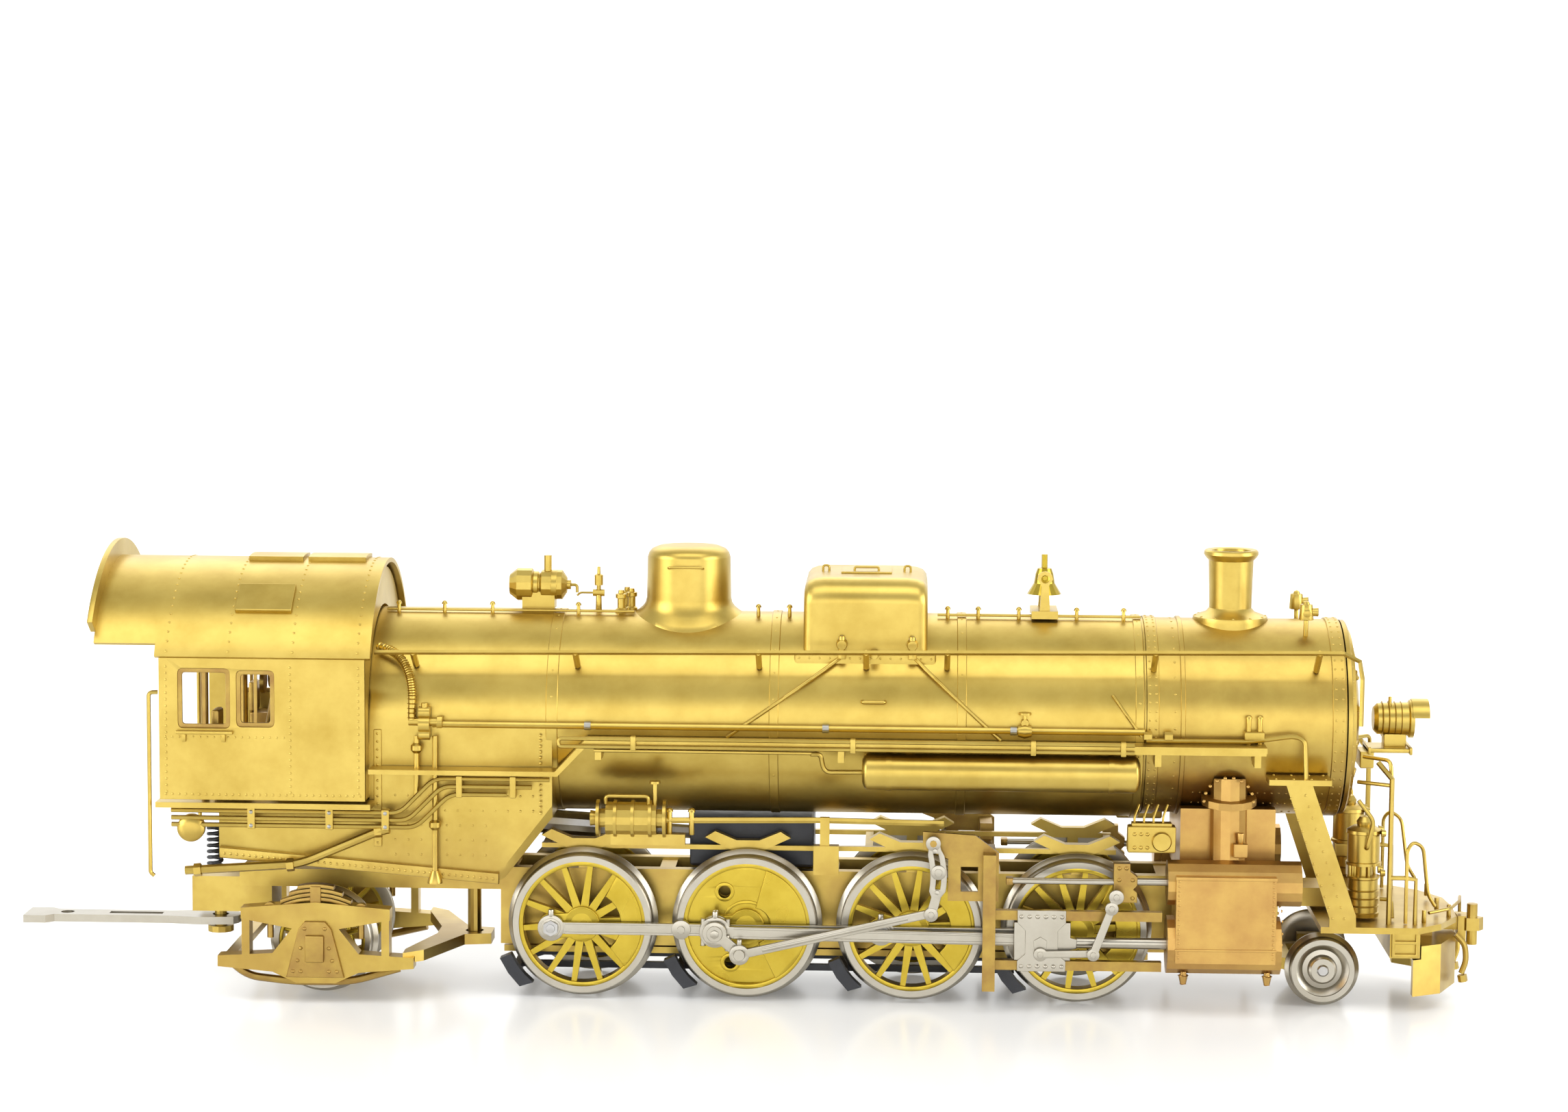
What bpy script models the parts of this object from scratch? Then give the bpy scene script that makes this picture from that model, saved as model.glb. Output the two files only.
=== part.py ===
"""Model steam locomotive with the 2-8-2 wheel arrangement, in HO scale, made of lacquered brass.

The locomotive faces +X, the engineer's side is -Y and is called right, and +Z is up. The origin
is on the rail line below the main driving axle, so the wheel flanges touch z = 0. Lengths in
this file are millimetres until a shape becomes a mesh, which is in metres.
"""
import math

import bmesh
import bpy
from mathutils import Matrix, Vector

MM = 0.001
GAP = 0.3                 # clearance between neighbouring pieces

# Running gear
AXLE_PITCH = 21.05        # distance between driving axles
DRIVER_FLANGE_R = 9.65
DRIVER_TREAD_R = 9.05
MAIN_DRIVER = 1           # second driving axle, which carries the gear and the main rods
DRIVER_X = [AXLE_PITCH * (index - MAIN_DRIVER) for index in range(4)]
WHEEL_BACK = 7.25         # half of the back-to-back distance
FLANGE_Y = 8.0
WHEEL_FACE = 9.9
CRANK = 3.9               # crank pin radius
CRANK_ANGLE = {-1: math.radians(185), 1: math.radians(275)}
PILOT_X = 73.5
PILOT_FLANGE_R = 4.75
PILOT_TREAD_R = 4.2
PILOT_PIVOT_X = 60.0
TRAILING_X = -54.5
TRAILING_FLANGE_R = 7.0
TRAILING_TREAD_R = 6.4
TRAILING_PIVOT_X = -36.0
AXLE_R = 1.5
PIN_R = 0.7
SMALL_PIN_R = 0.45
SPOKES = 11
COUNTERWEIGHT_HALF = 50    # degrees each side of the point opposite the crank pin

# Rods and valve gear, each in its own layer outwards from the wheel face
SIDE_ROD_Y = (10.2, 10.8)
MAIN_ROD_Y = (11.6, 12.3)
RETURN_CRANK_Y = (12.6, 13.2)
ECCENTRIC_ROD_Y = (13.5, 14.0)
LINK_Y = (14.4, 14.8)
UNION_Y = (14.9, 15.3)
LEVER_Y = (15.6, 16.0)
GUIDE_Y = (12.6, 13.8)
CYLINDER_Y = 13.2
PISTON_Z = 8.9
VALVE_Z = 16.8
MAIN_ROD_LENGTH = 41.2
ECCENTRIC_ROD_LENGTH = 24.86
ECCENTRIC_R = 2.93        # radius of the eccentric pin's path round the main axle
ECCENTRIC_LEAD = math.radians(71)
LINK_TOP = (23.7, 21.6)
LINK_LENGTH = 9.1
LEVER_TOP = (46.7, 15.3)
LEVER_LENGTH = 7.9
UNION_REACH = 6.6

# Boiler
BOILER_Z = 36.0
BOILER_R = 12.95
SMOKEBOX_Z = 36.2
SMOKEBOX_R = 12.55
SHEET = 0.9
FIREBOX_X = (-67.0, -24.3)
BARREL_X = (-24.0, 50.0)
SMOKEBOX_X = (50.3, 75.4)
BACKHEAD_X = (-61.9, -61.0)

# Cab
CAB_X = (-73.8, -47.8)
CAB_HALF = 16.5
CAB_WALL = 0.6
CAB_FLOOR_Z = (25.3, 26.0)
CAB_TOP_Z = 44.0
ROOF_R = 19.2
ROOF_X = (-82.0, -47.0)

# Drive
WORM_Z = 19.55
GEAR_R = 8.0
SHAFT_TILT = math.radians(3.5)

# Frame
FRAME_HALF = 5.0
FRAME_INNER = 3.4
FRAME_Z = (6.0, 16.0)
REAR_END_X = -94.9
FRONT_END_X = 94.9

SIDES = {"R": -1, "L": 1}

MATERIALS = {
    "brass": ((0.55, 0.38, 0.10), 0.38, 1.0),
    "bright_brass": ((0.72, 0.55, 0.18), 0.25, 1.0),
    "nickel": ((0.72, 0.69, 0.62), 0.25, 1.0),
    "black_plastic": ((0.02, 0.02, 0.02), 0.5, 0.0),
    "steel": ((0.45, 0.45, 0.46), 0.35, 1.0),
    "lead": ((0.20, 0.20, 0.22), 0.7, 1.0),
    "clear_lens": ((0.85, 0.87, 0.80), 0.1, 0.0),
}


# ---------------------------------------------------------------- scene

def clear_scene():
    for thing in list(bpy.data.objects):
        bpy.data.objects.remove(thing, do_unlink=True)


def make_collection(name):
    collection = bpy.data.collections.new(name)
    bpy.context.scene.collection.children.link(collection)
    return collection


def make_material(name, colour, roughness, metallic):
    material = bpy.data.materials.new(name)
    material.use_nodes = True
    shader = material.node_tree.nodes["Principled BSDF"]
    shader.inputs["Base Color"].default_value = (*colour, 1.0)
    shader.inputs["Roughness"].default_value = roughness
    shader.inputs["Metallic"].default_value = metallic
    material.diffuse_color = (*colour, 1.0)
    return material


clear_scene()
PARTS = make_collection("steam_locomotive")
SHAPES = make_collection("shapes")
MATERIAL = {name: make_material(name, *look) for name, look in MATERIALS.items()}


# ---------------------------------------------------------------- shapes

def add_shape(mesh):
    """Wrap a mesh in metres as a hidden shape that part() can join or cut with."""
    mesh.shade_smooth()
    mesh.set_sharp_from_angle(angle=math.radians(32))
    shape = bpy.data.objects.new("shape", mesh)
    shape.hide_render = True
    shape.display_type = "WIRE"
    SHAPES.objects.link(shape)
    return shape


def mesh_from(bm):
    mesh = bpy.data.meshes.new("shape")
    bm.to_mesh(mesh)
    bm.free()
    return mesh


def box(x, y, z, bevel=0.0):
    """Box between the low and high values given for each axis."""
    bm = bmesh.new()
    bmesh.ops.create_cube(bm, size=1.0)
    low_high = [sorted(pair) for pair in (x, y, z)]
    bmesh.ops.scale(bm, vec=[(high - low) * MM for low, high in low_high], verts=bm.verts)
    bmesh.ops.translate(bm, vec=[(high + low) * MM / 2 for low, high in low_high], verts=bm.verts)
    if bevel:
        bmesh.ops.bevel(bm, geom=bm.edges[:], offset=bevel * MM, segments=2, profile=0.5,
                        affect="EDGES")
    return add_shape(mesh_from(bm))


def cylinder(start, end, radius, end_radius=None, sides=12):
    """Round bar, or a cone when end_radius differs, from the point start to the point end."""
    start = Vector(start) * MM
    end = Vector(end) * MM
    turn = (end - start).to_track_quat("Z", "Y").to_matrix().to_4x4()
    bm = bmesh.new()
    bmesh.ops.create_cone(
        bm, cap_ends=True, segments=sides, radius1=radius * MM,
        radius2=(radius if end_radius is None else end_radius) * MM,
        depth=(end - start).length, matrix=Matrix.Translation((start + end) / 2) @ turn)
    return add_shape(mesh_from(bm))


def frozen(thing):
    """Turn a curve or a modified object into a plain welded mesh and remove the original."""
    bpy.context.view_layer.update()
    evaluated = thing.evaluated_get(bpy.context.evaluated_depsgraph_get())
    mesh = bpy.data.meshes.new_from_object(evaluated)
    bm = bmesh.new()
    bm.from_mesh(mesh)
    bmesh.ops.remove_doubles(bm, verts=bm.verts, dist=0.00001)
    bmesh.ops.recalc_face_normals(bm, faces=bm.faces)
    bmesh.ops.dissolve_limit(bm, angle_limit=math.radians(0.05), verts=bm.verts, edges=bm.edges)
    bm.transform(thing.matrix_world)
    bm.to_mesh(mesh)
    bm.free()
    bpy.data.objects.remove(thing, do_unlink=True)
    return add_shape(mesh)


def turned(profile, centre=(0, 0, 0), axis="Z", steps=24, closed=False):
    """Turn a profile of (radius, height) points, running top to bottom, about an axis."""
    mesh = bpy.data.meshes.new("profile")
    count = len(profile)
    edges = [(index, index + 1) for index in range(count - 1)]
    if closed:
        edges.append((count - 1, 0))
    mesh.from_pydata([(radius * MM, 0, height * MM) for radius, height in profile], edges, [])
    thing = bpy.data.objects.new("turned", mesh)
    SHAPES.objects.link(thing)
    screw = thing.modifiers.new("turn", "SCREW")
    screw.steps = steps
    screw.render_steps = steps
    screw.use_merge_vertices = True
    screw.merge_threshold = 0.000001
    turns = {"X": Matrix.Rotation(math.radians(90), 4, "Y"),
             "Y": Matrix.Rotation(math.radians(-90), 4, "X"),
             "Z": Matrix.Identity(4)}
    thing.matrix_world = Matrix.Translation(Vector(centre) * MM) @ turns[axis]
    return frozen(thing)


def plate(outlines, low_high, plane="XZ"):
    """Flat plate from closed outlines; an outline inside another is a hole."""
    curve = bpy.data.curves.new("plate", "CURVE")
    curve.dimensions = "2D"
    curve.fill_mode = "BOTH"
    low, high = sorted(low_high)
    curve.extrude = (high - low) * MM / 2
    for outline in outlines:
        spline = curve.splines.new("POLY")
        spline.points.add(len(outline) - 1)
        for point, (u, v) in zip(spline.points, outline):
            point.co = (u * MM, v * MM, 0, 1)
        spline.use_cyclic_u = True
    thing = bpy.data.objects.new("plate", curve)
    SHAPES.objects.link(thing)
    middle = (low + high) * MM / 2
    if plane == "XZ":
        thing.matrix_world = (Matrix.Translation((0, middle, 0))
                              @ Matrix.Rotation(math.radians(90), 4, "X"))
    elif plane == "YZ":
        thing.matrix_world = (Matrix.Translation((middle, 0, 0))
                              @ Matrix(((0, 0, 1, 0), (1, 0, 0, 0), (0, 1, 0, 0), (0, 0, 0, 1))))
    else:
        thing.matrix_world = Matrix.Translation((0, 0, middle))
    return frozen(thing)


def tube(points, radius, bevel_resolution=1):
    """Round wire along a list of points."""
    curve = bpy.data.curves.new("tube", "CURVE")
    curve.dimensions = "3D"
    curve.bevel_depth = radius * MM
    curve.bevel_resolution = bevel_resolution
    curve.use_fill_caps = True
    spline = curve.splines.new("POLY")
    spline.points.add(len(points) - 1)
    for point, place in zip(spline.points, points):
        point.co = (*(Vector(place) * MM), 1)
    thing = bpy.data.objects.new("tube", curve)
    SHAPES.objects.link(thing)
    return frozen(thing)


def arc(centre, radius, start, end, count):
    """Points on an arc, with angles in degrees counted from the first axis to the second."""
    step = (end - start) / (count - 1)
    angles = [math.radians(start + step * index) for index in range(count)]
    return [(centre[0] + radius * math.cos(a), centre[1] + radius * math.sin(a)) for a in angles]


def circle(centre, radius, count=12):
    return arc(centre, radius, 0, 360 - 360 / count, count)


def rectangle(x, z):
    return [(x[0], z[0]), (x[1], z[0]), (x[1], z[1]), (x[0], z[1])]


def eye_outline(eyes, half_width):
    """Outline of a flat rod through its eyes, each ((x, z), radius), from rear to front."""
    first, last = eyes[0][0], eyes[-1][0]
    lean = math.degrees(math.atan2(last[1] - first[1], last[0] - first[0]))
    upper = []
    lower = []
    for number, (centre, radius) in enumerate(eyes):
        meet = math.degrees(math.asin(half_width / radius))
        high, low = 180 - meet, meet
        if number == 0:
            high = 180
        if number == len(eyes) - 1:
            low = 0
        count = 6 if number in (0, len(eyes) - 1) else 5
        upper += arc(centre, radius, lean + high, lean + low, count)
        lower += arc(centre, radius, lean - high, lean - low, count)
    return upper + lower[-2:0:-1]


def rod_plate(eyes, holes, half_width, y, hole_sides=10):
    """Flat rod made in one piece with its eyes and round holes, each ((x, z), radius)."""
    outlines = [eye_outline(eyes, half_width)]
    outlines += [circle(centre, radius, hole_sides) for centre, radius in holes]
    return plate(outlines, y)


def side_span(side, span):
    """Y range of a layer on one side, from its distances to the centre line."""
    return sorted((side * span[0], side * span[1]))


def boiler_space():
    return cylinder((-70, 0, BOILER_Z), (50.15, 0, BOILER_Z), BOILER_R + GAP, sides=48)


def smokebox_space():
    return cylinder((50.15, 0, SMOKEBOX_Z), (78, 0, SMOKEBOX_Z), SMOKEBOX_R + GAP, sides=48)


def part(name, material, shapes, cuts=(), origin=(0, 0, 0)):
    """Join shapes into the named object, cut it, and put its origin on its joint's axis."""
    base = shapes[0]
    base.name = name
    base.data.name = name
    SHAPES.objects.unlink(base)
    PARTS.objects.link(base)
    base.hide_render = False
    base.display_type = "TEXTURED"
    base.data.materials.clear()
    base.data.materials.append(MATERIAL[material])
    place = Vector(origin) * MM
    base.data.transform(Matrix.Translation(-place))
    base.location = place
    tools = [(shape, "UNION") for shape in shapes[1:]] + [(cut, "DIFFERENCE") for cut in cuts]
    for tool, operation in tools:
        tool.data.materials.clear()
        tool.data.materials.append(MATERIAL[material])
        modifier = base.modifiers.new(operation.lower(), "BOOLEAN")
        modifier.operation = operation
        modifier.solver = "EXACT"
        modifier.object = tool
    if tools:
        flatten = base.modifiers.new("flatten", "DECIMATE")
        flatten.decimate_type = "DISSOLVE"
        flatten.angle_limit = math.radians(0.05)
    return base


# ---------------------------------------------------------------- wheels

def polar(centre, radius, angle):
    """Point of the XZ plane at a distance and an angle in radians from a centre."""
    return (centre[0] + radius * math.cos(angle), centre[1] + radius * math.sin(angle))


def crank_pin(side, index):
    return polar((DRIVER_X[index], DRIVER_FLANGE_R), CRANK, CRANK_ANGLE[side])


def rim(x, z, side, flange_r, tread_r, bore_r, steps):
    """Tyre with its flange on the inner side."""
    profile = [(bore_r, side * WHEEL_FACE), (tread_r, side * WHEEL_FACE),
               (tread_r, side * FLANGE_Y), (flange_r, side * WHEEL_BACK),
               (bore_r, side * WHEEL_BACK)]
    return turned(profile, (x, 0, z), "Y", steps, closed=True)


def sector(centre, inner_r, outer_r, middle, spoke_half, inner_points=2, outer_points=2):
    """Opening between two spokes whose sides are parallel to the spokes."""
    half = math.pi / SPOKES
    outer = math.degrees(half - math.asin(spoke_half / outer_r))
    inner = math.degrees(half - math.asin(spoke_half / inner_r))
    return (arc(centre, outer_r, middle - outer, middle + outer, outer_points)
            + arc(centre, inner_r, middle + inner, middle - inner, inner_points))


def driver_wheel(index, side):
    """Tyre, spokes or disc, counterweight, hub and crank pin of one driving wheel."""
    x = DRIVER_X[index]
    z = DRIVER_FLANGE_R
    bore_r = 7.7
    web_y = side_span(side, (8.1, 9.5))
    shapes = [rim(x, z, side, DRIVER_FLANGE_R, DRIVER_TREAD_R, bore_r, 24)]
    outlines = [circle((x, z), bore_r + 0.5, 24)]
    pin_angle = math.degrees(CRANK_ANGLE[side])
    if index == MAIN_DRIVER:
        for offset in (90, -90, 180):
            outlines.append(circle(polar((x, z), 5.0, math.radians(pin_angle + offset)), 1.5, 8))
    else:
        pitch = 360 / SPOKES
        for opening in range(SPOKES):
            turn = pitch * (opening + 0.5)
            if abs(turn - 180) > COUNTERWEIGHT_HALF:
                inner_r = 4.6 if min(turn, 360 - turn) < pitch else 2.6
                outlines.append(sector((x, z), inner_r, bore_r, pin_angle + turn, 0.45))
    shapes.append(plate(outlines, web_y))
    shapes.append(cylinder((x, side * (WHEEL_BACK + 0.2), z), (x, side * (WHEEL_FACE + 0.05), z),
                           2.2, sides=10))
    pin_x, pin_z = crank_pin(side, index)
    shapes.append(cylinder((pin_x, side * 8.3, pin_z), (pin_x, side * 9.95, pin_z), 1.5, sides=8))
    pin_end = MAIN_ROD_Y[1] if index == MAIN_DRIVER else SIDE_ROD_Y[1] + GAP
    shapes.append(cylinder((pin_x, side * 8.5, pin_z), (pin_x, side * pin_end, pin_z), PIN_R,
                           sides=8))
    return shapes


def driver_wheelset(index):
    x = DRIVER_X[index]
    z = DRIVER_FLANGE_R
    axle = cylinder((x, -8.8, z), (x, 8.8, z), AXLE_R, sides=10)
    shapes = [axle, *driver_wheel(index, -1), *driver_wheel(index, 1)]
    part(f"drive_wheelset_{index + 1}", "nickel", shapes, origin=(x, 0, z))


def small_wheelset(name, x, flange_r, tread_r, axle_r, axle_end):
    shapes = [cylinder((x, -axle_end, flange_r), (x, axle_end, flange_r), axle_r, sides=10)]
    for side in SIDES.values():
        profile = [(0, WHEEL_FACE), (tread_r, WHEEL_FACE), (tread_r, FLANGE_Y),
                   (flange_r, WHEEL_BACK), (0, WHEEL_BACK)]
        shapes.append(turned([(radius, side * height) for radius, height in profile],
                             (x, 0, flange_r), "Y", 24))
    part(name, "nickel", shapes, origin=(x, 0, flange_r))


def axle_gear():
    """Worm wheel on the main axle."""
    teeth = 20
    outline = []
    for tooth in range(teeth):
        for step, radius in ((0.0, GEAR_R + 0.3), (0.4, GEAR_R + 0.3), (0.5, GEAR_R - 0.3),
                             (0.9, GEAR_R - 0.3)):
            angle = 2 * math.pi * (tooth + step) / teeth
            outline.append(polar((0, DRIVER_FLANGE_R), radius, angle))
    bore = circle((0, DRIVER_FLANGE_R), AXLE_R + GAP, 12)
    part("axle_gear", "bright_brass", [plate([outline, bore], (-1.2, 1.2))],
         origin=(0, 0, DRIVER_FLANGE_R))


# ---------------------------------------------------------------- rods

def side_rod(label, side):
    y = side_span(side, SIDE_ROD_Y)
    pins = [crank_pin(side, index) for index in range(4)]
    eyes = [(pin, 1.7) for pin in pins]
    holes = [(pin, PIN_R + GAP) for pin in pins]
    main_x, main_z = pins[MAIN_DRIVER]
    part(f"side_rod_{label}", "nickel", [rod_plate(eyes, holes, 0.75, y)],
         origin=(main_x, sum(y) / 2, main_z))


def wrist_pin_x(side):
    pin_x, pin_z = crank_pin(side, MAIN_DRIVER)
    return pin_x + math.sqrt(MAIN_ROD_LENGTH ** 2 - (PISTON_Z - pin_z) ** 2)


def main_rod(label, side):
    y = side_span(side, MAIN_ROD_Y)
    start = crank_pin(side, MAIN_DRIVER)
    end = (wrist_pin_x(side), PISTON_Z)
    shape = rod_plate([(start, 1.9), (end, 1.3)], [(start, PIN_R + GAP)], 0.85, y)
    part(f"main_rod_{label}", "nickel", [shape], origin=(start[0], sum(y) / 2, start[1]))


def eccentric_pin(side):
    return polar((0, DRIVER_FLANGE_R), ECCENTRIC_R, CRANK_ANGLE[side] + ECCENTRIC_LEAD)


def return_crank(label, side):
    """Arm on the end of the main crank pin, with the eccentric pin on it."""
    y = side_span(side, RETURN_CRANK_Y)
    main = crank_pin(side, MAIN_DRIVER)
    pin = eccentric_pin(side)
    pin_y = side_span(side, (RETURN_CRANK_Y[0] + 0.1, ECCENTRIC_ROD_Y[1] + 0.1))
    shapes = [rod_plate([(main, 1.3), (pin, 0.95)], [], 0.7, y)]
    shapes.append(cylinder((pin[0], pin_y[0], pin[1]), (pin[0], pin_y[1], pin[1]), SMALL_PIN_R,
                           sides=8))
    part(f"return_crank_{label}", "nickel", shapes, origin=(0, sum(y) / 2, DRIVER_FLANGE_R))


def link_foot(side):
    """Free end of the gear link, where the eccentric rod reaches it."""
    pin = eccentric_pin(side)
    centre = Vector(LINK_TOP)
    reach = Vector(pin) - centre
    distance = reach.length
    along = (LINK_LENGTH ** 2 - ECCENTRIC_ROD_LENGTH ** 2 + distance ** 2) / (2 * distance)
    across = math.sqrt(LINK_LENGTH ** 2 - along ** 2)
    unit = reach.normalized()
    foot = centre + unit * along + Vector((-unit.y, unit.x)) * across
    return (foot.x, foot.y)


def eccentric_rod(label, side):
    y = side_span(side, ECCENTRIC_ROD_Y)
    start = eccentric_pin(side)
    end = link_foot(side)
    shape = rod_plate([(start, 1.1), (end, 1.1)], [(start, SMALL_PIN_R + GAP)], 0.5, y, 8)
    part(f"eccentric_rod_{label}", "nickel", [shape], origin=(start[0], sum(y) / 2, start[1]))


def gear_link(label, side):
    y = side_span(side, LINK_Y)
    foot = link_foot(side)
    shape = rod_plate([(foot, 1.1), (LINK_TOP, 1.1)], [(LINK_TOP, SMALL_PIN_R + GAP)], 0.65, y, 8)
    part(f"gear_link_{label}", "nickel", [shape], origin=(LINK_TOP[0], sum(y) / 2, LINK_TOP[1]))


def crosshead(label, side):
    """Crosshead with its piston rod, wrist pin boss and union link."""
    wrist = wrist_pin_x(side)
    y = side_span(side, GUIDE_Y)
    plate_y = side_span(side, (GUIDE_Y[1] + GAP, 14.6))
    top = (wrist - 3.4, wrist + 3.9)
    shapes = [box(top, side_span(side, (GUIDE_Y[0], 14.3)), (6.95, 11.45))]
    shapes.append(box((wrist - 2.9, wrist + 3.2), plate_y, (5.4, 13.2)))
    shapes.append(cylinder((wrist, side * 12.6, PISTON_Z), (wrist, side * 15.4, PISTON_Z), 0.6, sides=8))
    shapes.append(cylinder((wrist + 1, side * CYLINDER_Y, PISTON_Z),
                           (wrist + 21.0, side * CYLINDER_Y, PISTON_Z), 0.6, sides=8))
    union_y = side_span(side, UNION_Y)
    union = [((wrist, PISTON_Z), 0.9), ((wrist + UNION_REACH, PISTON_Z - 1.0), 0.8)]
    shapes.append(rod_plate(union, [], 0.45, union_y))
    part(f"crosshead_{label}", "nickel", shapes, origin=(wrist, sum(y) / 2, PISTON_Z))


def valve_stem(label, side):
    """Valve crosshead with the two rods behind it and the stem into the valve chest."""
    y = side_span(side, (12.7, 14.4))
    shapes = [box((46.4, 49.4), y, (14.2, 19.4), bevel=0.25)]
    for rod_y in (13.0, 14.0):
        shapes.append(cylinder((33.3, side * rod_y, VALVE_Z), (47.0, side * rod_y, VALVE_Z), 0.3,
                               sides=6))
    shapes.append(box((32.9, 33.8), side_span(side, (12.7, 14.3)), (VALVE_Z - 0.6, VALVE_Z + 0.6)))
    shapes.append(cylinder((49.0, side * CYLINDER_Y, VALVE_Z), (57.0, side * CYLINDER_Y, VALVE_Z),
                           0.45, sides=8))
    shapes.append(cylinder((LEVER_TOP[0], side * 14.0, LEVER_TOP[1]),
                           (LEVER_TOP[0], side * 16.1, LEVER_TOP[1]), 0.45, sides=8))
    part(f"valve_stem_{label}", "nickel", shapes, origin=(48, side * CYLINDER_Y, VALVE_Z))


def combination_lever(label, side):
    y = side_span(side, LEVER_Y)
    foot_x = wrist_pin_x(side) + UNION_REACH
    drop = math.sqrt(LEVER_LENGTH ** 2 - (foot_x - LEVER_TOP[0]) ** 2)
    foot = (foot_x, LEVER_TOP[1] - drop)
    shape = rod_plate([(foot, 1.05), (LEVER_TOP, 1.05)], [(LEVER_TOP, SMALL_PIN_R + GAP)], 0.55, y,
                      8)
    part(f"combination_lever_{label}", "nickel", [shape],
         origin=(LEVER_TOP[0], sum(y) / 2, LEVER_TOP[1]))


# ---------------------------------------------------------------- frame and suspension

def main_frame():
    """Two side bars with open axle slots, spacers, and the lower rear and front bars."""
    outline = [(-32.0, FRAME_Z[0])]
    for x in DRIVER_X:
        outline += [(x - 1.9, FRAME_Z[0]), (x - 1.9, 11.6), (x + 1.9, 11.6), (x + 1.9, FRAME_Z[0])]
    outline += [(68.0, FRAME_Z[0]), (68.0, FRAME_Z[1]), (-32.0, FRAME_Z[1])]
    shapes = []
    for side in SIDES.values():
        shapes.append(plate([outline], side_span(side, (FRAME_INNER, FRAME_HALF))))
    spacers = [-31.0, -10.6, 10.6, 31.5]
    for x in spacers:
        shapes.append(box((x - 1.0, x + 1.0), (-FRAME_HALF + 0.2, FRAME_HALF - 0.2), (9.0, 15.7)))
    shapes.append(box((52.5, 67.8), (-FRAME_HALF + 0.2, FRAME_HALF - 0.2), (6.2, 15.8)))
    shapes.append(box((66.0, 81.0), (-3.4, 3.4), (12.0, 14.4)))
    shapes.append(box((-66.0, -31.0), (-4.6, 4.6), (13.0, 15.3)))
    shapes.append(box((-72.4, -62.0), (-3.6, 3.6), (9.4, 14.0)))
    pin = (-69.4, 0)
    shapes.append(cylinder((*pin, 9.8), (*pin, 6.2), 0.8))
    shapes.append(cylinder((*pin, 6.9), (*pin, 6.1), 1.7))
    shapes.append(cylinder((TRAILING_PIVOT_X, 0, 13.4), (TRAILING_PIVOT_X, 0, 5.2), 0.9))
    shapes.append(cylinder((PILOT_PIVOT_X, 0, 6.6), (PILOT_PIVOT_X, 0, 3.6), 0.9))
    part("main_frame", "brass", shapes)


def keeper_plate():
    """Plate below the frame that holds the axles in their slots."""
    thickness = (4.9, 5.7)
    outline = rectangle((-31.6, 51.5), (-4.6, 4.6))
    slot = rectangle((-9.2, 9.2), (-2.0, 2.0))
    shapes = [plate([outline, slot], thickness, "XY")]
    part("keeper_plate", "brass", shapes)


def brake_rigging():
    """Brake shoes behind the driving wheels, with their cross beams and pull rods."""
    beam_z = 3.15
    beams = [x - 8.63 for x in DRIVER_X]
    shapes = []
    for side in SIDES.values():
        shapes.append(box((beams[0] - 0.9, beams[-1] + 0.9), side_span(side, (3.2, 4.0)),
                          (beam_z - 0.4, beam_z + 0.4)))
    for x, beam_x in zip(DRIVER_X, beams):
        shapes.append(box((beam_x - 0.5, beam_x + 0.5), (-8.5, 8.5), (beam_z - 0.5, beam_z + 0.5)))
        for side in SIDES.values():
            face = arc((x, DRIVER_FLANGE_R), 10.05, 204, 231, 4)
            back = arc((x, DRIVER_FLANGE_R), 11.6, 226, 204, 3)
            shapes.append(plate([face + back], side_span(side, (7.7, 9.3))))
    for x in beams[1:]:
        shapes.append(box((x - 2.6, x - 1.0), (3.3, 3.9), (beam_z, 4.55)))
    part("brake_rigging", "black_plastic", shapes)


def spring_rigging():
    """Leaf springs over the driving axles, linked along each side and across the frame."""
    shapes = []
    for side in SIDES.values():
        y = side_span(side, (5.35, 6.85))
        shapes.append(box((DRIVER_X[0] - 5.5, DRIVER_X[-1] + 5.0),
                          side_span(side, (5.5, 6.3)), (18.9, 19.5)))
        for x in DRIVER_X:
            leaf = arc((x, 27.6), 8.9, 232, 308, 4) + arc((x, 27.6), 7.5, 304, 236, 4)
            shapes.append(plate([leaf], y))
            shapes.append(box((x - 0.7, x + 0.7), side_span(side, (5.6, 6.6)), (16.35, 19.2)))
    for x in (-26.0, 15.5, 46.5):
        shapes.append(box((x - 0.5, x + 0.5), (-5.9, 5.9), (19.0, 19.4)))
    part("spring_rigging", "brass", shapes)


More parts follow.
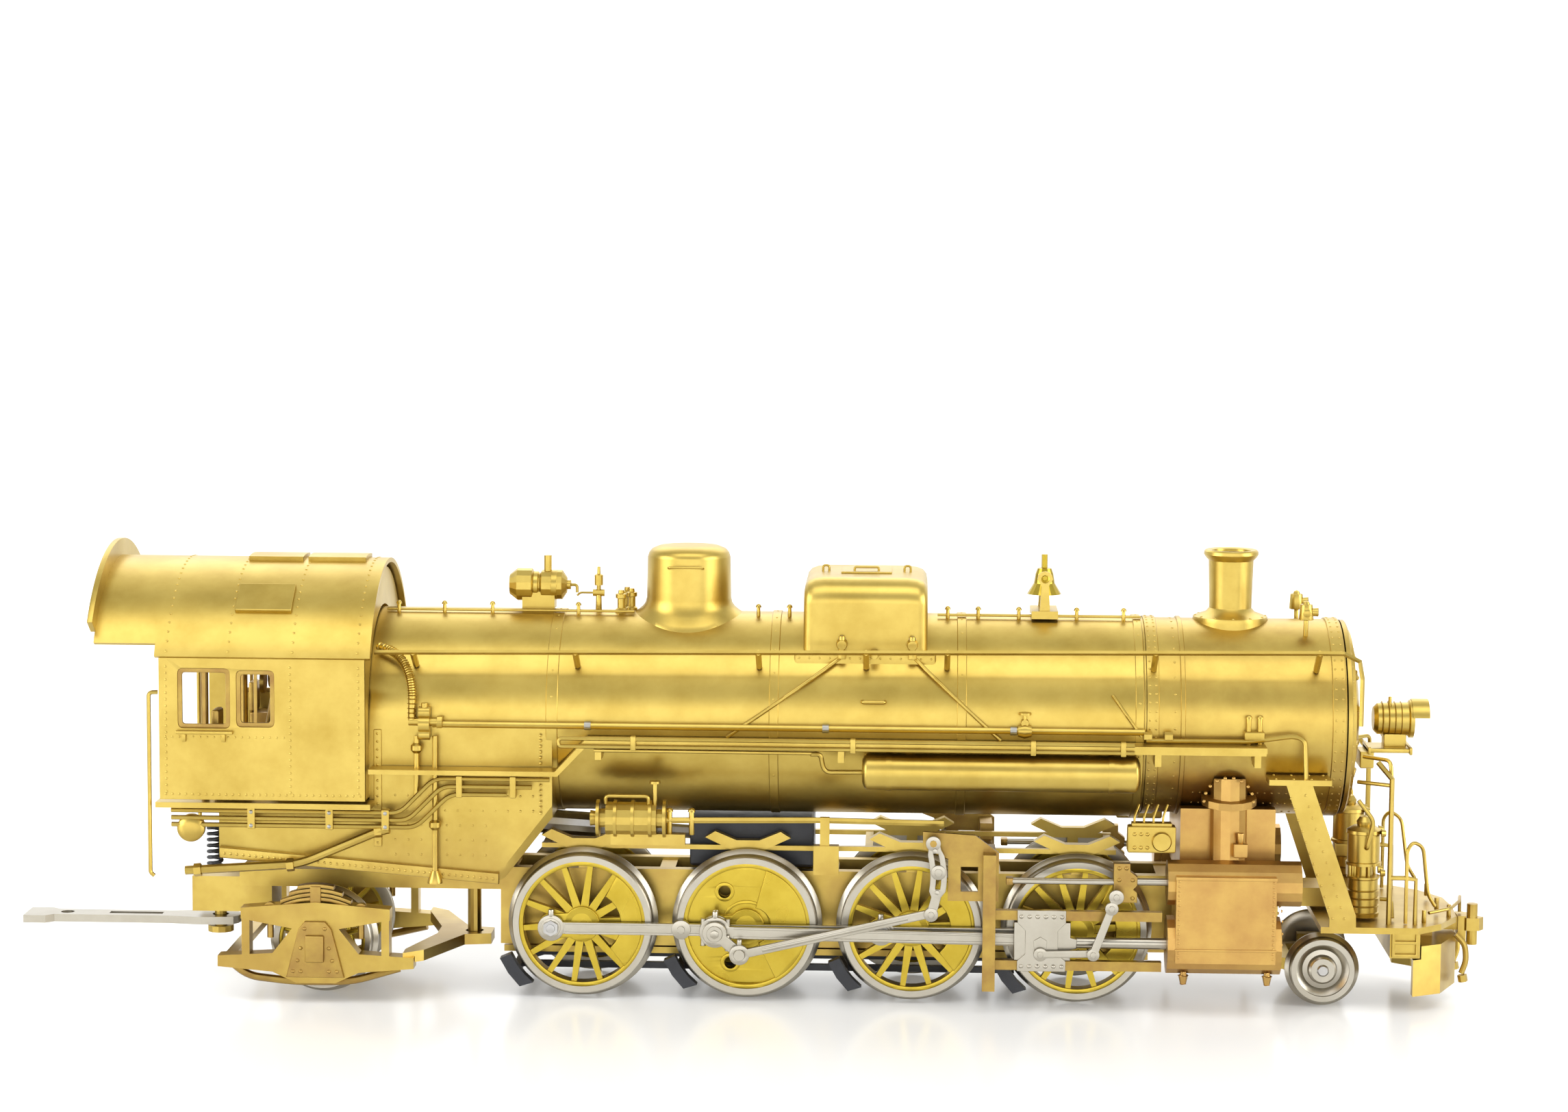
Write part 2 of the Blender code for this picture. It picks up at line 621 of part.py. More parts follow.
def small_truck_frames():
    """Inside-bearing pilot truck and outside-bearing trailing truck."""
    pivot_hole = cylinder((PILOT_PIVOT_X, 0, 2), (PILOT_PIVOT_X, 0, 8), 0.9 + GAP)
    axle_hole = cylinder((PILOT_X, -8, PILOT_FLANGE_R), (PILOT_X, 8, PILOT_FLANGE_R), 0.9 + GAP)
    arms = [(57.8, -1.6), (62.0, -2.2), (71.5, -5.6), (76.0, -5.6), (76.0, 5.6), (71.5, 5.6),
            (62.0, 2.2), (57.8, 1.6)]
    window = rectangle((70.0, 74.9), (-4.0, 4.0))
    shapes = [plate([arms, window], (4.0, 5.5), "XY")]
    for side in SIDES.values():
        shapes.append(box((71.6, 75.4), side_span(side, (4.2, 5.6)), (2.9, 6.8)))
    part("pilot_truck_frame", "brass", shapes, [pivot_hole, axle_hole],
         (PILOT_PIVOT_X, 0, 4.75))

    inner, outer = 12.4, 14.8
    z = TRAILING_FLANGE_R
    side_outline = [(-67.0, 4.6), (-60.0, 4.0), (-57.0, 2.6), (-52.0, 2.6), (-49.0, 4.0),
                    (-42.0, 4.6), (-42.0, 6.0), (-49.0, 6.4), (-51.5, 9.6), (-45.0, 10.8),
                    (-45.0, 12.2), (-54.5, 13.0), (-64.0, 12.2), (-64.0, 10.8), (-57.5, 9.6),
                    (-60.0, 6.4), (-67.0, 6.0)]
    shapes = []
    for side in SIDES.values():
        y = side_span(side, (inner, outer))
        shapes.append(plate([side_outline], y))
        for x in (-63.4, -45.6):
            shapes.append(box((x - 0.5, x + 0.5), y, (5.4, 11.4)))
    shapes.append(box((-66.6, -65.2), (-13.0, 13.0), (4.7, 5.7)))
    tongue = [(-33.6, -1.9), (-33.6, 1.9), (-37.0, 2.6), (-41.0, 12.5), (-43.4, 14.6),
              (-43.4, 12.0), (-40.6, 2.2), (-40.6, -2.2), (-43.4, -12.0), (-43.4, -14.6),
              (-41.0, -12.5), (-37.0, -2.6)]
    shapes.append(plate([tongue], (5.2, 6.6), "XY"))
    cuts = [cylinder((TRAILING_PIVOT_X, 0, 4), (TRAILING_PIVOT_X, 0, 9), 0.9 + GAP),
            cylinder((TRAILING_X, -13.9, z), (TRAILING_X, 13.9, z), 1.2 + GAP)]
    part("trailing_truck_frame", "brass", shapes, cuts, (TRAILING_PIVOT_X, 0, 6))


def drawbar():
    """Flat bar from the pin below the cab to the tender pin hole."""
    outline = ([(-67.4, -1.9)] + arc((-69.4, 0), 2.7, -45, 45, 5) + [(-71.5, 2.4), (-76.0, 1.7)]
               + [(-91.0, 1.7), (-92.0, 2.6), (REAR_END_X, 2.6), (REAR_END_X, -2.6), (-92.0, -2.6),
                  (-91.0, -1.7), (-76.0, -1.7), (-71.5, -2.4)])
    slot = rectangle((-84.0, -77.0), (-0.6, 0.6))
    hole = circle((-69.4, 0), 0.8 + GAP, 12)
    pin_hole = circle((-89.6, 0), 0.9, 10)
    part("drawbar", "nickel", [plate([outline, slot, hole, pin_hole], (7.3, 8.3), "XY")],
         origin=(-69.4, 0, 7.8))


# ---------------------------------------------------------------- drive

def shaft_point(distance):
    """Point on the sloping drive shaft, at a distance behind the worm's middle."""
    return (-distance * math.cos(SHAFT_TILT), 0, WORM_Z + distance * math.sin(SHAFT_TILT))


def drive():
    motor_r = 6.1
    shell = cylinder(shaft_point(38), shaft_point(59.5), motor_r, sides=24)
    collar = cylinder(shaft_point(36.6), shaft_point(38.5), 2.6)
    bore = cylinder(shaft_point(34), shaft_point(58.0), 1.0 + GAP)
    part("motor_case", "black_plastic", [shell, collar], [bore])

    shaft = cylinder(shaft_point(-5.5), shaft_point(56.0), 0.9, sides=8)
    sleeve = cylinder(shaft_point(12.0), shaft_point(28.0), 1.6)
    worm = cylinder(shaft_point(-4.0), shaft_point(4.0), 1.25, sides=8)
    flights = [cylinder(shaft_point(start), shaft_point(start + 0.8), 1.5, sides=8)
               for start in (-3.5, -1.8, -0.1, 1.6)]
    part("worm_shaft", "steel", [shaft, sleeve, worm, *flights], origin=(0, 0, WORM_Z))

    shell = box((-7.6, 8.4), (-4.5, 4.5), (16.35, 22.6), bevel=0.4)
    room = box((-6.2, 6.2), (-2.4, 2.4), (14.0, 21.6))
    tunnel = cylinder(shaft_point(-7.5), shaft_point(12), 0.9 + GAP)
    part("gearbox", "black_plastic", [shell], [room, tunnel])


# ---------------------------------------------------------------- cylinders and gear supports

def cylinder_saddle():
    """Saddle under the smokebox with the cylinder and the valve chest of each side."""
    shapes = [box((55.0, 67.0), (-9.6, 9.6), (FRAME_Z[1] + 0.3, 25.6))]
    cuts = [smokebox_space()]
    ends = (53.15, 67.4)
    for side in SIDES.values():
        y = side * CYLINDER_Y
        outer = side_span(side, (9.4, 16.9))
        shapes.append(box((54.1, 66.6), outer, (7.2, 18.2)))
        shapes.append(cylinder((ends[0], y, PISTON_Z), (ends[1], y, PISTON_Z), 3.69, sides=16))
        shapes.append(cylinder((ends[0], y, VALVE_Z), (ends[1] + 2.5, y, VALVE_Z), 2.9, sides=14))
        cuts.append(cylinder((50, y, PISTON_Z), (66.5, y, PISTON_Z), 0.6 + GAP))
        cuts.append(cylinder((50, y, VALVE_Z), (60.0, y, VALVE_Z), 0.45 + GAP, sides=10))
        shapes.append(cylinder((61.0, side * 11.0, 18.4), (61.0, side * 9.9, 29.6), 2.3))
        shapes.append(cylinder((61.0, side * 10.2, 26.4), (61.0, side * 10.1, 27.3), 3.5,
                               sides=14))
    part("cylinder_saddle", "brass", shapes, cuts)


def guide_yoke():
    """Cross plate between the third and fourth drivers with the guide bars and gear frames."""
    x = (30.0, 31.6)
    shapes = [box(x, (-10.6, 10.6), (16.35, 18.2))]
    for side in SIDES.values():
        shapes.append(box(x, side_span(side, (7.4, 15.3)), (17.9, 20.3)))
        shapes.append(box(x, side_span(side, (14.5, 15.3)), (2.9, 20.3)))
        guide = side_span(side, GUIDE_Y)
        for low in (5.4, 11.8):
            shapes.append(box((30.2, 52.6), guide, (low, low + 1.2)))
            shapes.append(box((30.2, 31.4), side_span(side, (12.7, 15.0)), (low, low + 1.2)))
        gear = [(25.6, 14.0), (32.0, 14.0), (32.0, 20.2), (29.0, 22.4), (22.4, 22.8), (22.4, 20.6),
                (25.6, 19.4)]
        hole = [(27.2, 15.2), (29.4, 15.2), (29.4, 18.4), (27.2, 18.4)]
        gear_y = side_span(side, (12.5, 13.1))
        shapes.append(plate([gear, hole], gear_y))
        shapes.append(cylinder((LINK_TOP[0], side * 12.6, LINK_TOP[1]),
                               (LINK_TOP[0], side * 15.0, LINK_TOP[1]), 0.45, sides=8))
    part("guide_yoke", "brass", shapes)


def power_reverse():
    """Power reverse cylinder on the right side, its reach rod and its lever."""
    y = -14.0
    shapes = [turned([(0, 4.0), (1.2, 4.0), (1.2, 3.2), (2.1, 3.2), (2.1, -3.2), (1.2, -3.2),
                      (1.2, -4.0), (0, -4.0)], (-14.4, y, 24.2), "X", 14)]
    shapes.append(box((-17.0, -7.6), (-14.6, -13.2), (20.9, 22.3)))
    shapes.append(tube([(-11.0, y, 24.0), (9.0, -13.6, 24.2), (25.0, -13.6, 24.0)], 0.4))
    shapes.append(box((9.4, 10.6), (-14.0, -13.2), (18.0, 24.6)))
    shapes.append(box((8.6, 11.8), (-14.2, -12.7), (17.3, 21.0)))
    part("power_reverse", "brass", shapes, [boiler_space()])


# ---------------------------------------------------------------- boiler

def arch(radius, centre_z, bottom_z, half_width, count=25):
    """Half circle over straight sides, in the YZ plane."""
    top = arc((0, centre_z), radius, 0, 180, count)
    return [(half_width, bottom_z)] + top + [(-half_width, bottom_z)]


def firebox():
    """Firebox wrapper with its sloping bottom edge, and the backhead inside the cab."""
    outer = arch(BOILER_R, BOILER_Z, 14.0, BOILER_R)
    inner = arch(BOILER_R - SHEET, BOILER_Z, 14.0, BOILER_R - SHEET)
    wrapper = plate([outer + inner[::-1]], FIREBOX_X, "YZ")
    backhead = plate([arch(BOILER_R - 0.3, BOILER_Z, 25.6, BOILER_R - 0.3)], BACKHEAD_X, "YZ")
    below = [(-70, 10), (-20, 10), (-20, 23.3), (-25.0, 23.3), (-31.2, 15.3), (-70, 18.3)]
    cuts = [plate([below], (-20, 20)),
            box((-70, BACKHEAD_X[0]), (-20, 20), (24.9, 60))]
    shapes = [wrapper, backhead]
    for side in SIDES.values():
        band = [(-66.9, 18.35), (-31.3, 15.4), (-31.3, 16.8), (-66.9, 19.7)]
        shapes.append(plate([band], side_span(side, (12.5, 13.7))))
    part("firebox", "brass", shapes, cuts)


def boiler():
    inner = BOILER_R - SHEET
    middle = sum(BARREL_X) / 2
    half = (BARREL_X[1] - BARREL_X[0]) / 2
    ring = [(inner, half), (BOILER_R, half), (BOILER_R, -half), (inner, -half)]
    barrel = turned(ring, (middle, 0, BOILER_Z), "X", 40, closed=True)
    part("boiler_barrel", "brass", [barrel])

    inner = SMOKEBOX_R - SHEET
    middle = sum(SMOKEBOX_X) / 2
    half = (SMOKEBOX_X[1] - SMOKEBOX_X[0]) / 2
    ring = [(inner, half), (SMOKEBOX_R, half), (SMOKEBOX_R, -half), (inner, -half)]
    part("smokebox", "brass", [turned(ring, (middle, 0, SMOKEBOX_Z), "X", 40, closed=True)])

    front = [(0, 1.7), (5.0, 1.5), (8.0, 0.9), (8.4, 0.5), (11.4, 0.5), (12.3, 0.1), (12.3, -0.6),
             (0, -0.6)]
    part("smokebox_front", "brass", [turned(front, (76.3, 0, SMOKEBOX_Z), "X", 28)])

    weight = cylinder((12.0, 0, BOILER_Z), (46.0, 0, BOILER_Z), 10.6, sides=24)
    part("boiler_weight", "lead", [weight])


def boiler_fittings():
    top = BOILER_Z + BOILER_R
    dome = [(0, 8.6), (3.9, 8.6), (4.8, 8.1), (5.35, 7.2), (5.45, 1.6), (5.9, 0.9), (6.6, 0.3),
            (6.9, -1.6), (6.9, -4.0), (0, -4.0)]
    part("steam_dome", "brass", [turned(dome, (-8.1, 0, top), "Z", 22)], [boiler_space()])

    sand = [box((7.0, 22.7), (-10.3, 10.3), (38.0, 54.4), bevel=3.2),
            box((5.9, 23.8), (-10.4, 10.4), (42.0, 45.2))]
    part("sand_dome", "brass", sand, [boiler_space()])

    height = 57.6
    stack = [(2.35, height), (3.3, height), (3.5, height - 0.5), (3.2, height - 1.0),
             (2.85, height - 1.3), (2.7, 50.2), (3.2, 49.7), (4.75, 49.3), (4.9, 47.0), (2.35, 47.0)]
    part("smokestack", "brass", [turned(stack, (61.6, 0, 0), "Z", 20, closed=True)],
         [smokebox_space()])

    spool = [(0, 3.8), (1.0, 3.8), (1.9, 3.2), (1.9, 0.6), (1.5, 0.3), (1.5, -0.4), (2.1, -0.7),
             (2.1, -2.6), (1.3, -3.6), (0, -3.6)]
    generator = [turned(spool, (-27.7, 0, 52.2), "X", 14)]
    generator.append(box((-29.6, -25.4), (-1.4, 1.4), (48.0, 51.4)))
    generator.append(cylinder((-26.4, 0, 52.0), (-26.4, 0, 56.0), 0.5))
    part("generator", "brass", generator, [boiler_space()])

    axis_z = 53.9
    bell_x = 37.7
    bell = [(0, 1.3), (0.9, 1.1), (1.15, 0.4), (1.35, -0.8), (2.2, -2.2), (1.9, -2.2), (0, -1.2)]
    shapes = [turned(bell, (bell_x, 0, axis_z), "Z", 16)]
    shapes.append(cylinder((bell_x, -1.9, axis_z), (bell_x, 1.9, axis_z), 0.3, sides=8))
    shapes.append(cylinder((bell_x, 0, axis_z + 0.8), (bell_x, 0, axis_z + 2.9), 0.4, sides=8))
    part("bell", "bright_brass", shapes, origin=(bell_x, 0, axis_z))

    arm = [(bell_x - 0.7, 49.2), (bell_x + 0.7, 49.2), (bell_x + 0.45, 53.0)]
    arm += arc((bell_x, axis_z), 1.0, 0, 180, 7) + [(bell_x - 0.45, 53.0)]
    shapes = [box((bell_x - 1.7, bell_x + 1.7), (-3.4, 3.4), (48.2, 49.8))]
    for side in SIDES.values():
        shapes.append(plate([arm], side_span(side, (2.5, 3.1))))
    cuts = [boiler_space(), cylinder((bell_x, -3.5, axis_z), (bell_x, 3.5, axis_z), 0.55, sides=10)]
    part("bell_bracket", "brass", shapes, cuts)


def headlight():
    """Headlight on its platform in front of the smokebox door."""
    z = 36.0
    body = [(0, 2.0), (2.3, 2.0), (2.45, 1.2), (2.0, 0.6), (2.0, -2.4), (1.4, -3.6), (0, -3.6)]
    shapes = [turned(body, (83.2, 0, z), "X", 16)]
    shapes.append(box((79.3, 85.0), (-2.6, 2.6), (31.9, 32.5)))
    shapes.append(box((81.4, 83.0), (-1.0, 1.0), (32.2, 34.8)))
    shapes.append(box((78.4, 80.2), (-1.5, 1.5), (29.8, 32.4)))
    part("headlight", "brass", shapes)


# ---------------------------------------------------------------- cab

def cab():
    top = arc((0, SMOKEBOX_Z), ROOF_R - 0.95, 27.4, 152.6, 15)
    bottom = CAB_FLOOR_Z[1] + GAP
    half = CAB_HALF - CAB_WALL / 2
    clear = BOILER_R + GAP + 0.05
    opening = arch(clear, BOILER_Z, bottom + 0.1, clear)
    wall_out = [(half, bottom + 0.1)] + top + [(-half, bottom + 0.1)]
    front = plate([wall_out + opening[::-1]], (CAB_X[1] - CAB_WALL, CAB_X[1] - 0.1), "YZ")
    shapes = [front]
    outline = rectangle(CAB_X, (bottom, CAB_TOP_Z - 0.2))
    rear_window = rectangle((-71.4, -64.8), (35.4, 43.0))
    front_window = rectangle((-64.0, -59.2), (35.6, 42.8))
    for side in SIDES.values():
        y = side_span(side, (CAB_HALF - CAB_WALL, CAB_HALF))
        shapes.append(plate([outline, rear_window, front_window], y))
    part("cab_shell", "brass", shapes)

    sheet = 0.6
    span = (154.2, 25.8)
    outer = arc((0, SMOKEBOX_Z), ROOF_R, 180 - span[0], span[0], 27)
    inner = arc((0, SMOKEBOX_Z), ROOF_R - sheet, span[0], 180 - span[0], 27)
    shapes = [plate([outer + inner], ROOF_X, "YZ")]
    visor = (arc((0, SMOKEBOX_Z), ROOF_R + 2.3, 36, 144, 19)
             + arc((0, SMOKEBOX_Z), ROOF_R - 0.3, 144, 36, 19))
    shapes.append(plate([visor], (ROOF_X[0] - 0.7, ROOF_X[0] + 0.2), "YZ"))
    for x in ((-64.8, -57.7), (-57.1, -49.6)):
        hatch = (arc((0, SMOKEBOX_Z), ROOF_R + 0.6, 82, 98, 4)
                 + arc((0, SMOKEBOX_Z), ROOF_R - 0.2, 98, 82, 4))
        shapes.append(plate([hatch], x, "YZ"))
    part("cab_roof", "brass", shapes, [box((-90, CAB_X[0] - 0.4), (-20, 20), (40, 46.0))])

    clear = BOILER_R + GAP
    floor = [(-74.3, -16.9), (-47.1, -16.9), (-47.1, -clear), (BACKHEAD_X[0] - 0.3, -clear),
             (BACKHEAD_X[0] - 0.3, clear), (-47.1, clear), (-47.1, 16.9), (-74.3, 16.9)]
    part("cab_floor", "brass", [plate([floor], CAB_FLOOR_Z, "XY")])


# ---------------------------------------------------------------- running boards and rails

def running_board(label, side):
    """Stepped board with its skirt, and the mechanical lubricator on the right side."""
    y = side_span(side, (12.0, 16.5))
    profile = [(-47.4, 29.8), (-23.6, 29.8), (-19.8, 33.8), (65.1, 33.8), (65.1, 34.5),
               (-20.1, 34.5), (-23.9, 30.4), (-47.4, 30.4)]
    shapes = [plate([profile], y)]
    edge = side_span(side, (16.1, 16.5))
    shapes.append(box((-19.0, 65.0), edge, (33.5, 34.3)))
    for x in (-18.5, 12.0, 51.6, 64.0):
        shapes.append(box((x - 0.4, x + 0.4), side_span(side, (12.2, 15.8)), (31.9, 34.0)))
    cuts = [boiler_space(), smokebox_space(),
            box((-70, -24), side_span(side, (0, BOILER_R + GAP)), (20, 36))]
    part(f"running_board_{label}", "brass", shapes, cuts)


def air_tanks():
    """Air reservoir under each running board, joined by the pipe below the boiler."""
    shapes = []
    for side in SIDES.values():
        profile = [(0, 17.45), (1.9, 17.2), (2.4, 16.6), (2.4, -16.6), (1.9, -17.2), (0, -17.45)]
        shapes.append(turned(profile, (32.05, side * 14.75, 30.75), "X", 16))
    pipe = [(17.5, -14.75, 30.0), (17.5, -14.75, 26.4), (17.5, -10.5, 22.6), (17.5, 0, 22.3),
            (17.5, 10.5, 22.6), (17.5, 14.75, 26.4), (17.5, 14.75, 30.0)]
    shapes.append(tube(pipe, 0.4))
    part("air_tanks", "brass", shapes, [boiler_space()])


def handrail(label, side):
    """Rail along the boiler on its posts."""
    y = side * 14.3
    path = [(-46.9, y, 45.0), (70.0, y, 46.2), (74.6, y, 46.2), (76.6, side * 14.0, 45.2),
            (77.0, side * 13.8, 43.0), (77.0, side * 13.6, 37.0)]
    shapes = [tube(path, 0.3, bevel_resolution=0)]
    for x in (-42.0, -21.5, 1.5, 15.0, 25.2, 51.2, 71.6):
        z = 45.0 + 1.2 * (x + 46.9) / 116.9
        centre_z = SMOKEBOX_Z if x > 50 else BOILER_Z
        outward = Vector((side * 14.3, z - centre_z)).normalized()
        foot = outward * 12.0
        shapes.append(cylinder((x, foot.x, centre_z + foot.y), (x, y, z), 0.42, sides=6))
    part(f"handrail_{label}", "brass", shapes, [boiler_space(), smokebox_space()])


def front_end():
    """Pilot deck with its braces, air pumps, plow and front coupler."""
    deck = [(72.5, -14.0), (84.7, -14.0), (88.0, -11.0), (90.6, -6.0), (91.0, 0), (90.6, 6.0),
            (88.0, 11.0), (84.7, 14.0), (72.5, 14.0)]
    shapes = [plate([deck], (10.7, 11.5), "XY"),
              box((81.6, 85.4), (-11.0, 11.0), (7.0, 11.0))]
    for side in SIDES.values():
        slant = [(67.7, 29.8), (73.55, 12.6), (73.55, 11.0), (76.9, 11.0), (76.85, 13.0),
                 (71.0, 29.8)]
        shapes.append(plate([slant], side_span(side, (13.6, 14.0))))
        shapes.append(box((65.5, 73.3), side_span(side, (10.9, 15.6)), (29.7, 30.4)))
        shapes.append(tube([(81.3, side * 11.5, 11.0), (81.3, side * 11.5, 30.0),
                            (79.6, side * 10.6, 32.0)], 0.35))
        shapes.append(tube([(84.6, side * 11.5, 11.2), (84.6, side * 11.5, 17.2),
                            (83.4, side * 11.5, 17.4), (81.3, side * 11.5, 17.4)], 0.3))
    part("pilot_deck", "brass", shapes, [smokebox_space()])

    shapes = []
    for side in SIDES.values():
        profile = [(0, 11.7), (1.6, 11.7), (1.6, 10.9), (2.1, 10.7), (2.1, 7.0), (1.2, 6.6),
                   (1.2, 5.2), (1.9, 4.8), (1.9, 0.6), (1.3, 0.3), (1.3, 0), (0, 0)]
        shapes.append(turned(profile, (78.4, side * 8.0, 11.85), "Z", 10))
    shapes.append(box((77.6, 79.0), (-8.0, 8.0), (16.6, 18.6)))
    part("air_pumps", "brass", shapes)

    plow = [(84.6, -10.8), (88.4, -8.6), (91.2, -2.2), (91.2, 2.2), (88.4, 8.6), (84.6, 10.8)]
    inner = [(x - 1.6, y * 0.86) for x, y in plow[1:-1]]
    outline = plow + [(84.6, 9.3)] + inner[::-1] + [(84.6, -9.3)]
    shapes = [plate([outline], (2.0, 6.6), "XY"), plate([plow], (6.4, 8.4), "XY")]
    shapes.append(box((86.2, 88.0), (-3.5, 3.5), (8.0, 10.35)))
    cuts = [box((80, 85.7), (-11.4, 11.4), (6.7, 12))]
    part("pilot", "brass", shapes, cuts)

    shank = [(88.9, -1.1), (92.0, -1.1), (92.6, -1.9), (94.2, -1.9), (FRONT_END_X, -0.9),
             (94.2, -0.2), (93.2, 0.3), (93.4, 1.2), (94.4, 1.0), (94.4, 1.7), (92.8, 2.2),
             (91.6, 1.4), (88.9, 1.1)]
    shapes = [plate([shank], (8.75, 10.4), "XY")]
    shapes.append(cylinder((93.4, -1.2, 6.9), (93.4, -1.2, 12.2), 0.7))
    shapes.append(box((91.55, 92.6), (-1.6, 1.6), (7.2, 10.6)))
    part("front_coupler", "brass", shapes)


# ---------------------------------------------------------------- assembly

for driver in range(4):
    driver_wheelset(driver)
small_wheelset("pilot_wheelset", PILOT_X, PILOT_FLANGE_R, PILOT_TREAD_R, 0.9, 9.0)
small_wheelset("trailing_wheelset", TRAILING_X, TRAILING_FLANGE_R, TRAILING_TREAD_R, 1.2, 13.5)
axle_gear()
for label, side in SIDES.items():
    side_rod(label, side)
    main_rod(label, side)
    return_crank(label, side)
    eccentric_rod(label, side)
    gear_link(label, side)
    crosshead(label, side)
    valve_stem(label, side)
    combination_lever(label, side)
    running_board(label, side)
    handrail(label, side)
main_frame()
keeper_plate()
brake_rigging()
spring_rigging()
small_truck_frames()
drawbar()
drive()
cylinder_saddle()
guide_yoke()
power_reverse()
firebox()
boiler()
boiler_fittings()
headlight()
cab()
air_tanks()
front_end()
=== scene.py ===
"""Looks of the brass model steam locomotive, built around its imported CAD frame. Lengths are in millimetres
in the locomotive's own frame: x forward, y to its left, z up from the rail head."""

import math

import bmesh
import bpy
from mathutils import Matrix, Vector


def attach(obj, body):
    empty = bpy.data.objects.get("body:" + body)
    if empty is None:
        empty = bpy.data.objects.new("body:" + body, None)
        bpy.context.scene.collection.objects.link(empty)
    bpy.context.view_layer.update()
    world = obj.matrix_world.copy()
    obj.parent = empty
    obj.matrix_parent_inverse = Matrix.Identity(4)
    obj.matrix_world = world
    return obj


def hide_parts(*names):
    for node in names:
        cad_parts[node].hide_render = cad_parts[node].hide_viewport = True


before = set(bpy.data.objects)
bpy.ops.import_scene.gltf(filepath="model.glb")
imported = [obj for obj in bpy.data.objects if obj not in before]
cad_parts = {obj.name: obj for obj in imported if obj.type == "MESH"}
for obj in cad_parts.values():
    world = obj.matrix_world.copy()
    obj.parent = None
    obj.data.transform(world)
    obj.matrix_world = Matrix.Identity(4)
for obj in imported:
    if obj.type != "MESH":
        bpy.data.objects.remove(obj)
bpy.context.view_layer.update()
MM = 0.001
RIGHT, LEFT = -1, 1
SIDES = (RIGHT, LEFT)

# ---------------------------------------------------------------- running gear dimensions
DRIVER_X = (-21.05, 0.0, 21.05, 42.1)
AXLE_Z = 9.65
CRANK = 3.9
SPOKES = 14
CRANK_ANGLE = {RIGHT: 185.0, LEFT: 275.0}
WRIST_X = {RIGHT: 37.3, LEFT: 41.4}
PISTON_Z = 8.9
LINK_TOP = (23.7, 21.6)
LINK_FOOT = {RIGHT: (23.5, 12.5), LEFT: (27.3, 13.3)}
ECCENTRIC_PIN = {RIGHT: (-0.709, 6.807), LEFT: (2.843, 8.941)}
LEVER_TOP = (46.7, 15.3)
LEVER_FOOT = {RIGHT: (43.9, 7.9), LEFT: (48.0, 7.5)}
CYLINDER_Y = 13.2
VALVE_Z = 16.8
BOILER_Z, BOILER_R = 36.0, 12.95
SMOKEBOX_Z, SMOKEBOX_R = 36.2, 12.55
ROOF_Z, ROOF_R = 36.2, 19.2
LAMP_CENTRE = (0, 0, 36.0)
TANK_CENTRE = (32.05, 14.75, 30.75)
PUMP_X, PUMP_Y, PUMP_Z = 78.4, 8.0, 11.85


def side_name(side):
    """R for the locomotive's right-hand side, L for its left."""
    return "R" if side == RIGHT else "L"


def spin(x, z, r, degrees):
    """The point on a circle at that angle."""
    return x + r * math.cos(math.radians(degrees)), z + r * math.sin(math.radians(degrees))


def crank_pin(x, side):
    """Where the crank pin of the driver at x stands."""
    return spin(x, AXLE_Z, CRANK, CRANK_ANGLE[side])


# ---------------------------------------------------------------- materials
def new_material(name):
    """A node material, its principled shader and a maker of nodes."""
    made = bpy.data.materials.new(name)
    made.use_nodes = True
    tree = made.node_tree
    shader = tree.nodes["Principled BSDF"]

    def node(kind, **sockets):
        """One node with its input values set by name."""
        added = tree.nodes.new(kind)
        for key, value in sockets.items():
            added.inputs[key.replace("_", " ")].default_value = value
        return added
    return made, shader, node, tree.links.new


def remap(node, link, value, low, high, to_low, to_high):
    """A value's range low to high stretched to to_low to to_high."""
    stretch = node("ShaderNodeMapRange", From_Min=low, From_Max=high, To_Min=to_low, To_Max=to_high)
    link(value, stretch.inputs["Value"])
    return stretch.outputs["Result"]


def metal(name, base, dark, rough, stain, scale=260.0, low=None, bump=0.05):
    """Lacquered metal: base colour clouded with a darker one, and uneven gloss. low is (heights from full to
    no tint, tint, strength) for metal painted browner low down: a painted shade of the lower parts, broken up
    by stain blotches."""
    made, shader, node, link = new_material(name)
    where = node("ShaderNodeTexCoord").outputs["Object"]

    def noise(size, detail, rough_share=0.5):
        """Soft random values through space."""
        added = node("ShaderNodeTexNoise", Scale=size, Detail=detail, Roughness=rough_share)
        link(where, added.inputs["Vector"])
        return added.outputs["Fac"]

    ramp = node("ShaderNodeValToRGB")
    for stop, place, colour in zip(ramp.color_ramp.elements, (0.5 - 0.28 * stain, 0.5 + 0.12 * stain),
            (dark, base)):
        stop.position = place
        stop.color = (*colour, 1.0)
    link(noise(scale, 5.0, 0.62), ramp.inputs["Fac"])
    colour = ramp.outputs["Color"]
    # Painted shade mixed with stain: below the given heights the colour is tinted dark brown, more strongly
    # lower down, in noise blotches.
    if low:
        (full, none), stain_and_shade_tint, stain_and_shade_strength = low
        split = node("ShaderNodeSeparateXYZ")
        link(where, split.inputs["Vector"])
        both = node("ShaderNodeMath")
        both.operation = "MULTIPLY"
        link(remap(node, link, split.outputs["Z"], none * MM, full * MM, 0.0, stain_and_shade_strength), both.inputs[0])
        link(remap(node, link, noise(scale * 0.45, 4.0, 0.7), 0.4, 0.62, 0.1, 1.0), both.inputs[1])
        mix = node("ShaderNodeMix")
        mix.data_type = "RGBA"
        mix.inputs[7].default_value = (*stain_and_shade_tint, 1.0)
        link(both.outputs["Value"], mix.inputs["Factor"])
        link(colour, mix.inputs[6])
        colour = mix.outputs[2]
    link(colour, shader.inputs["Base Color"])
    shader.inputs["Metallic"].default_value = 1.0
    link(remap(node, link, noise(scale * 0.9, 1.0), 0.3, 0.7, rough * 0.93, rough * 1.1),
        shader.inputs["Roughness"])
    if bump:
        relief = node("ShaderNodeBump", Strength=bump, Distance=0.00006)
        link(noise(scale * 9.0, 2.0), relief.inputs["Height"])
        link(relief.outputs["Normal"], shader.inputs["Normal"])
    return made


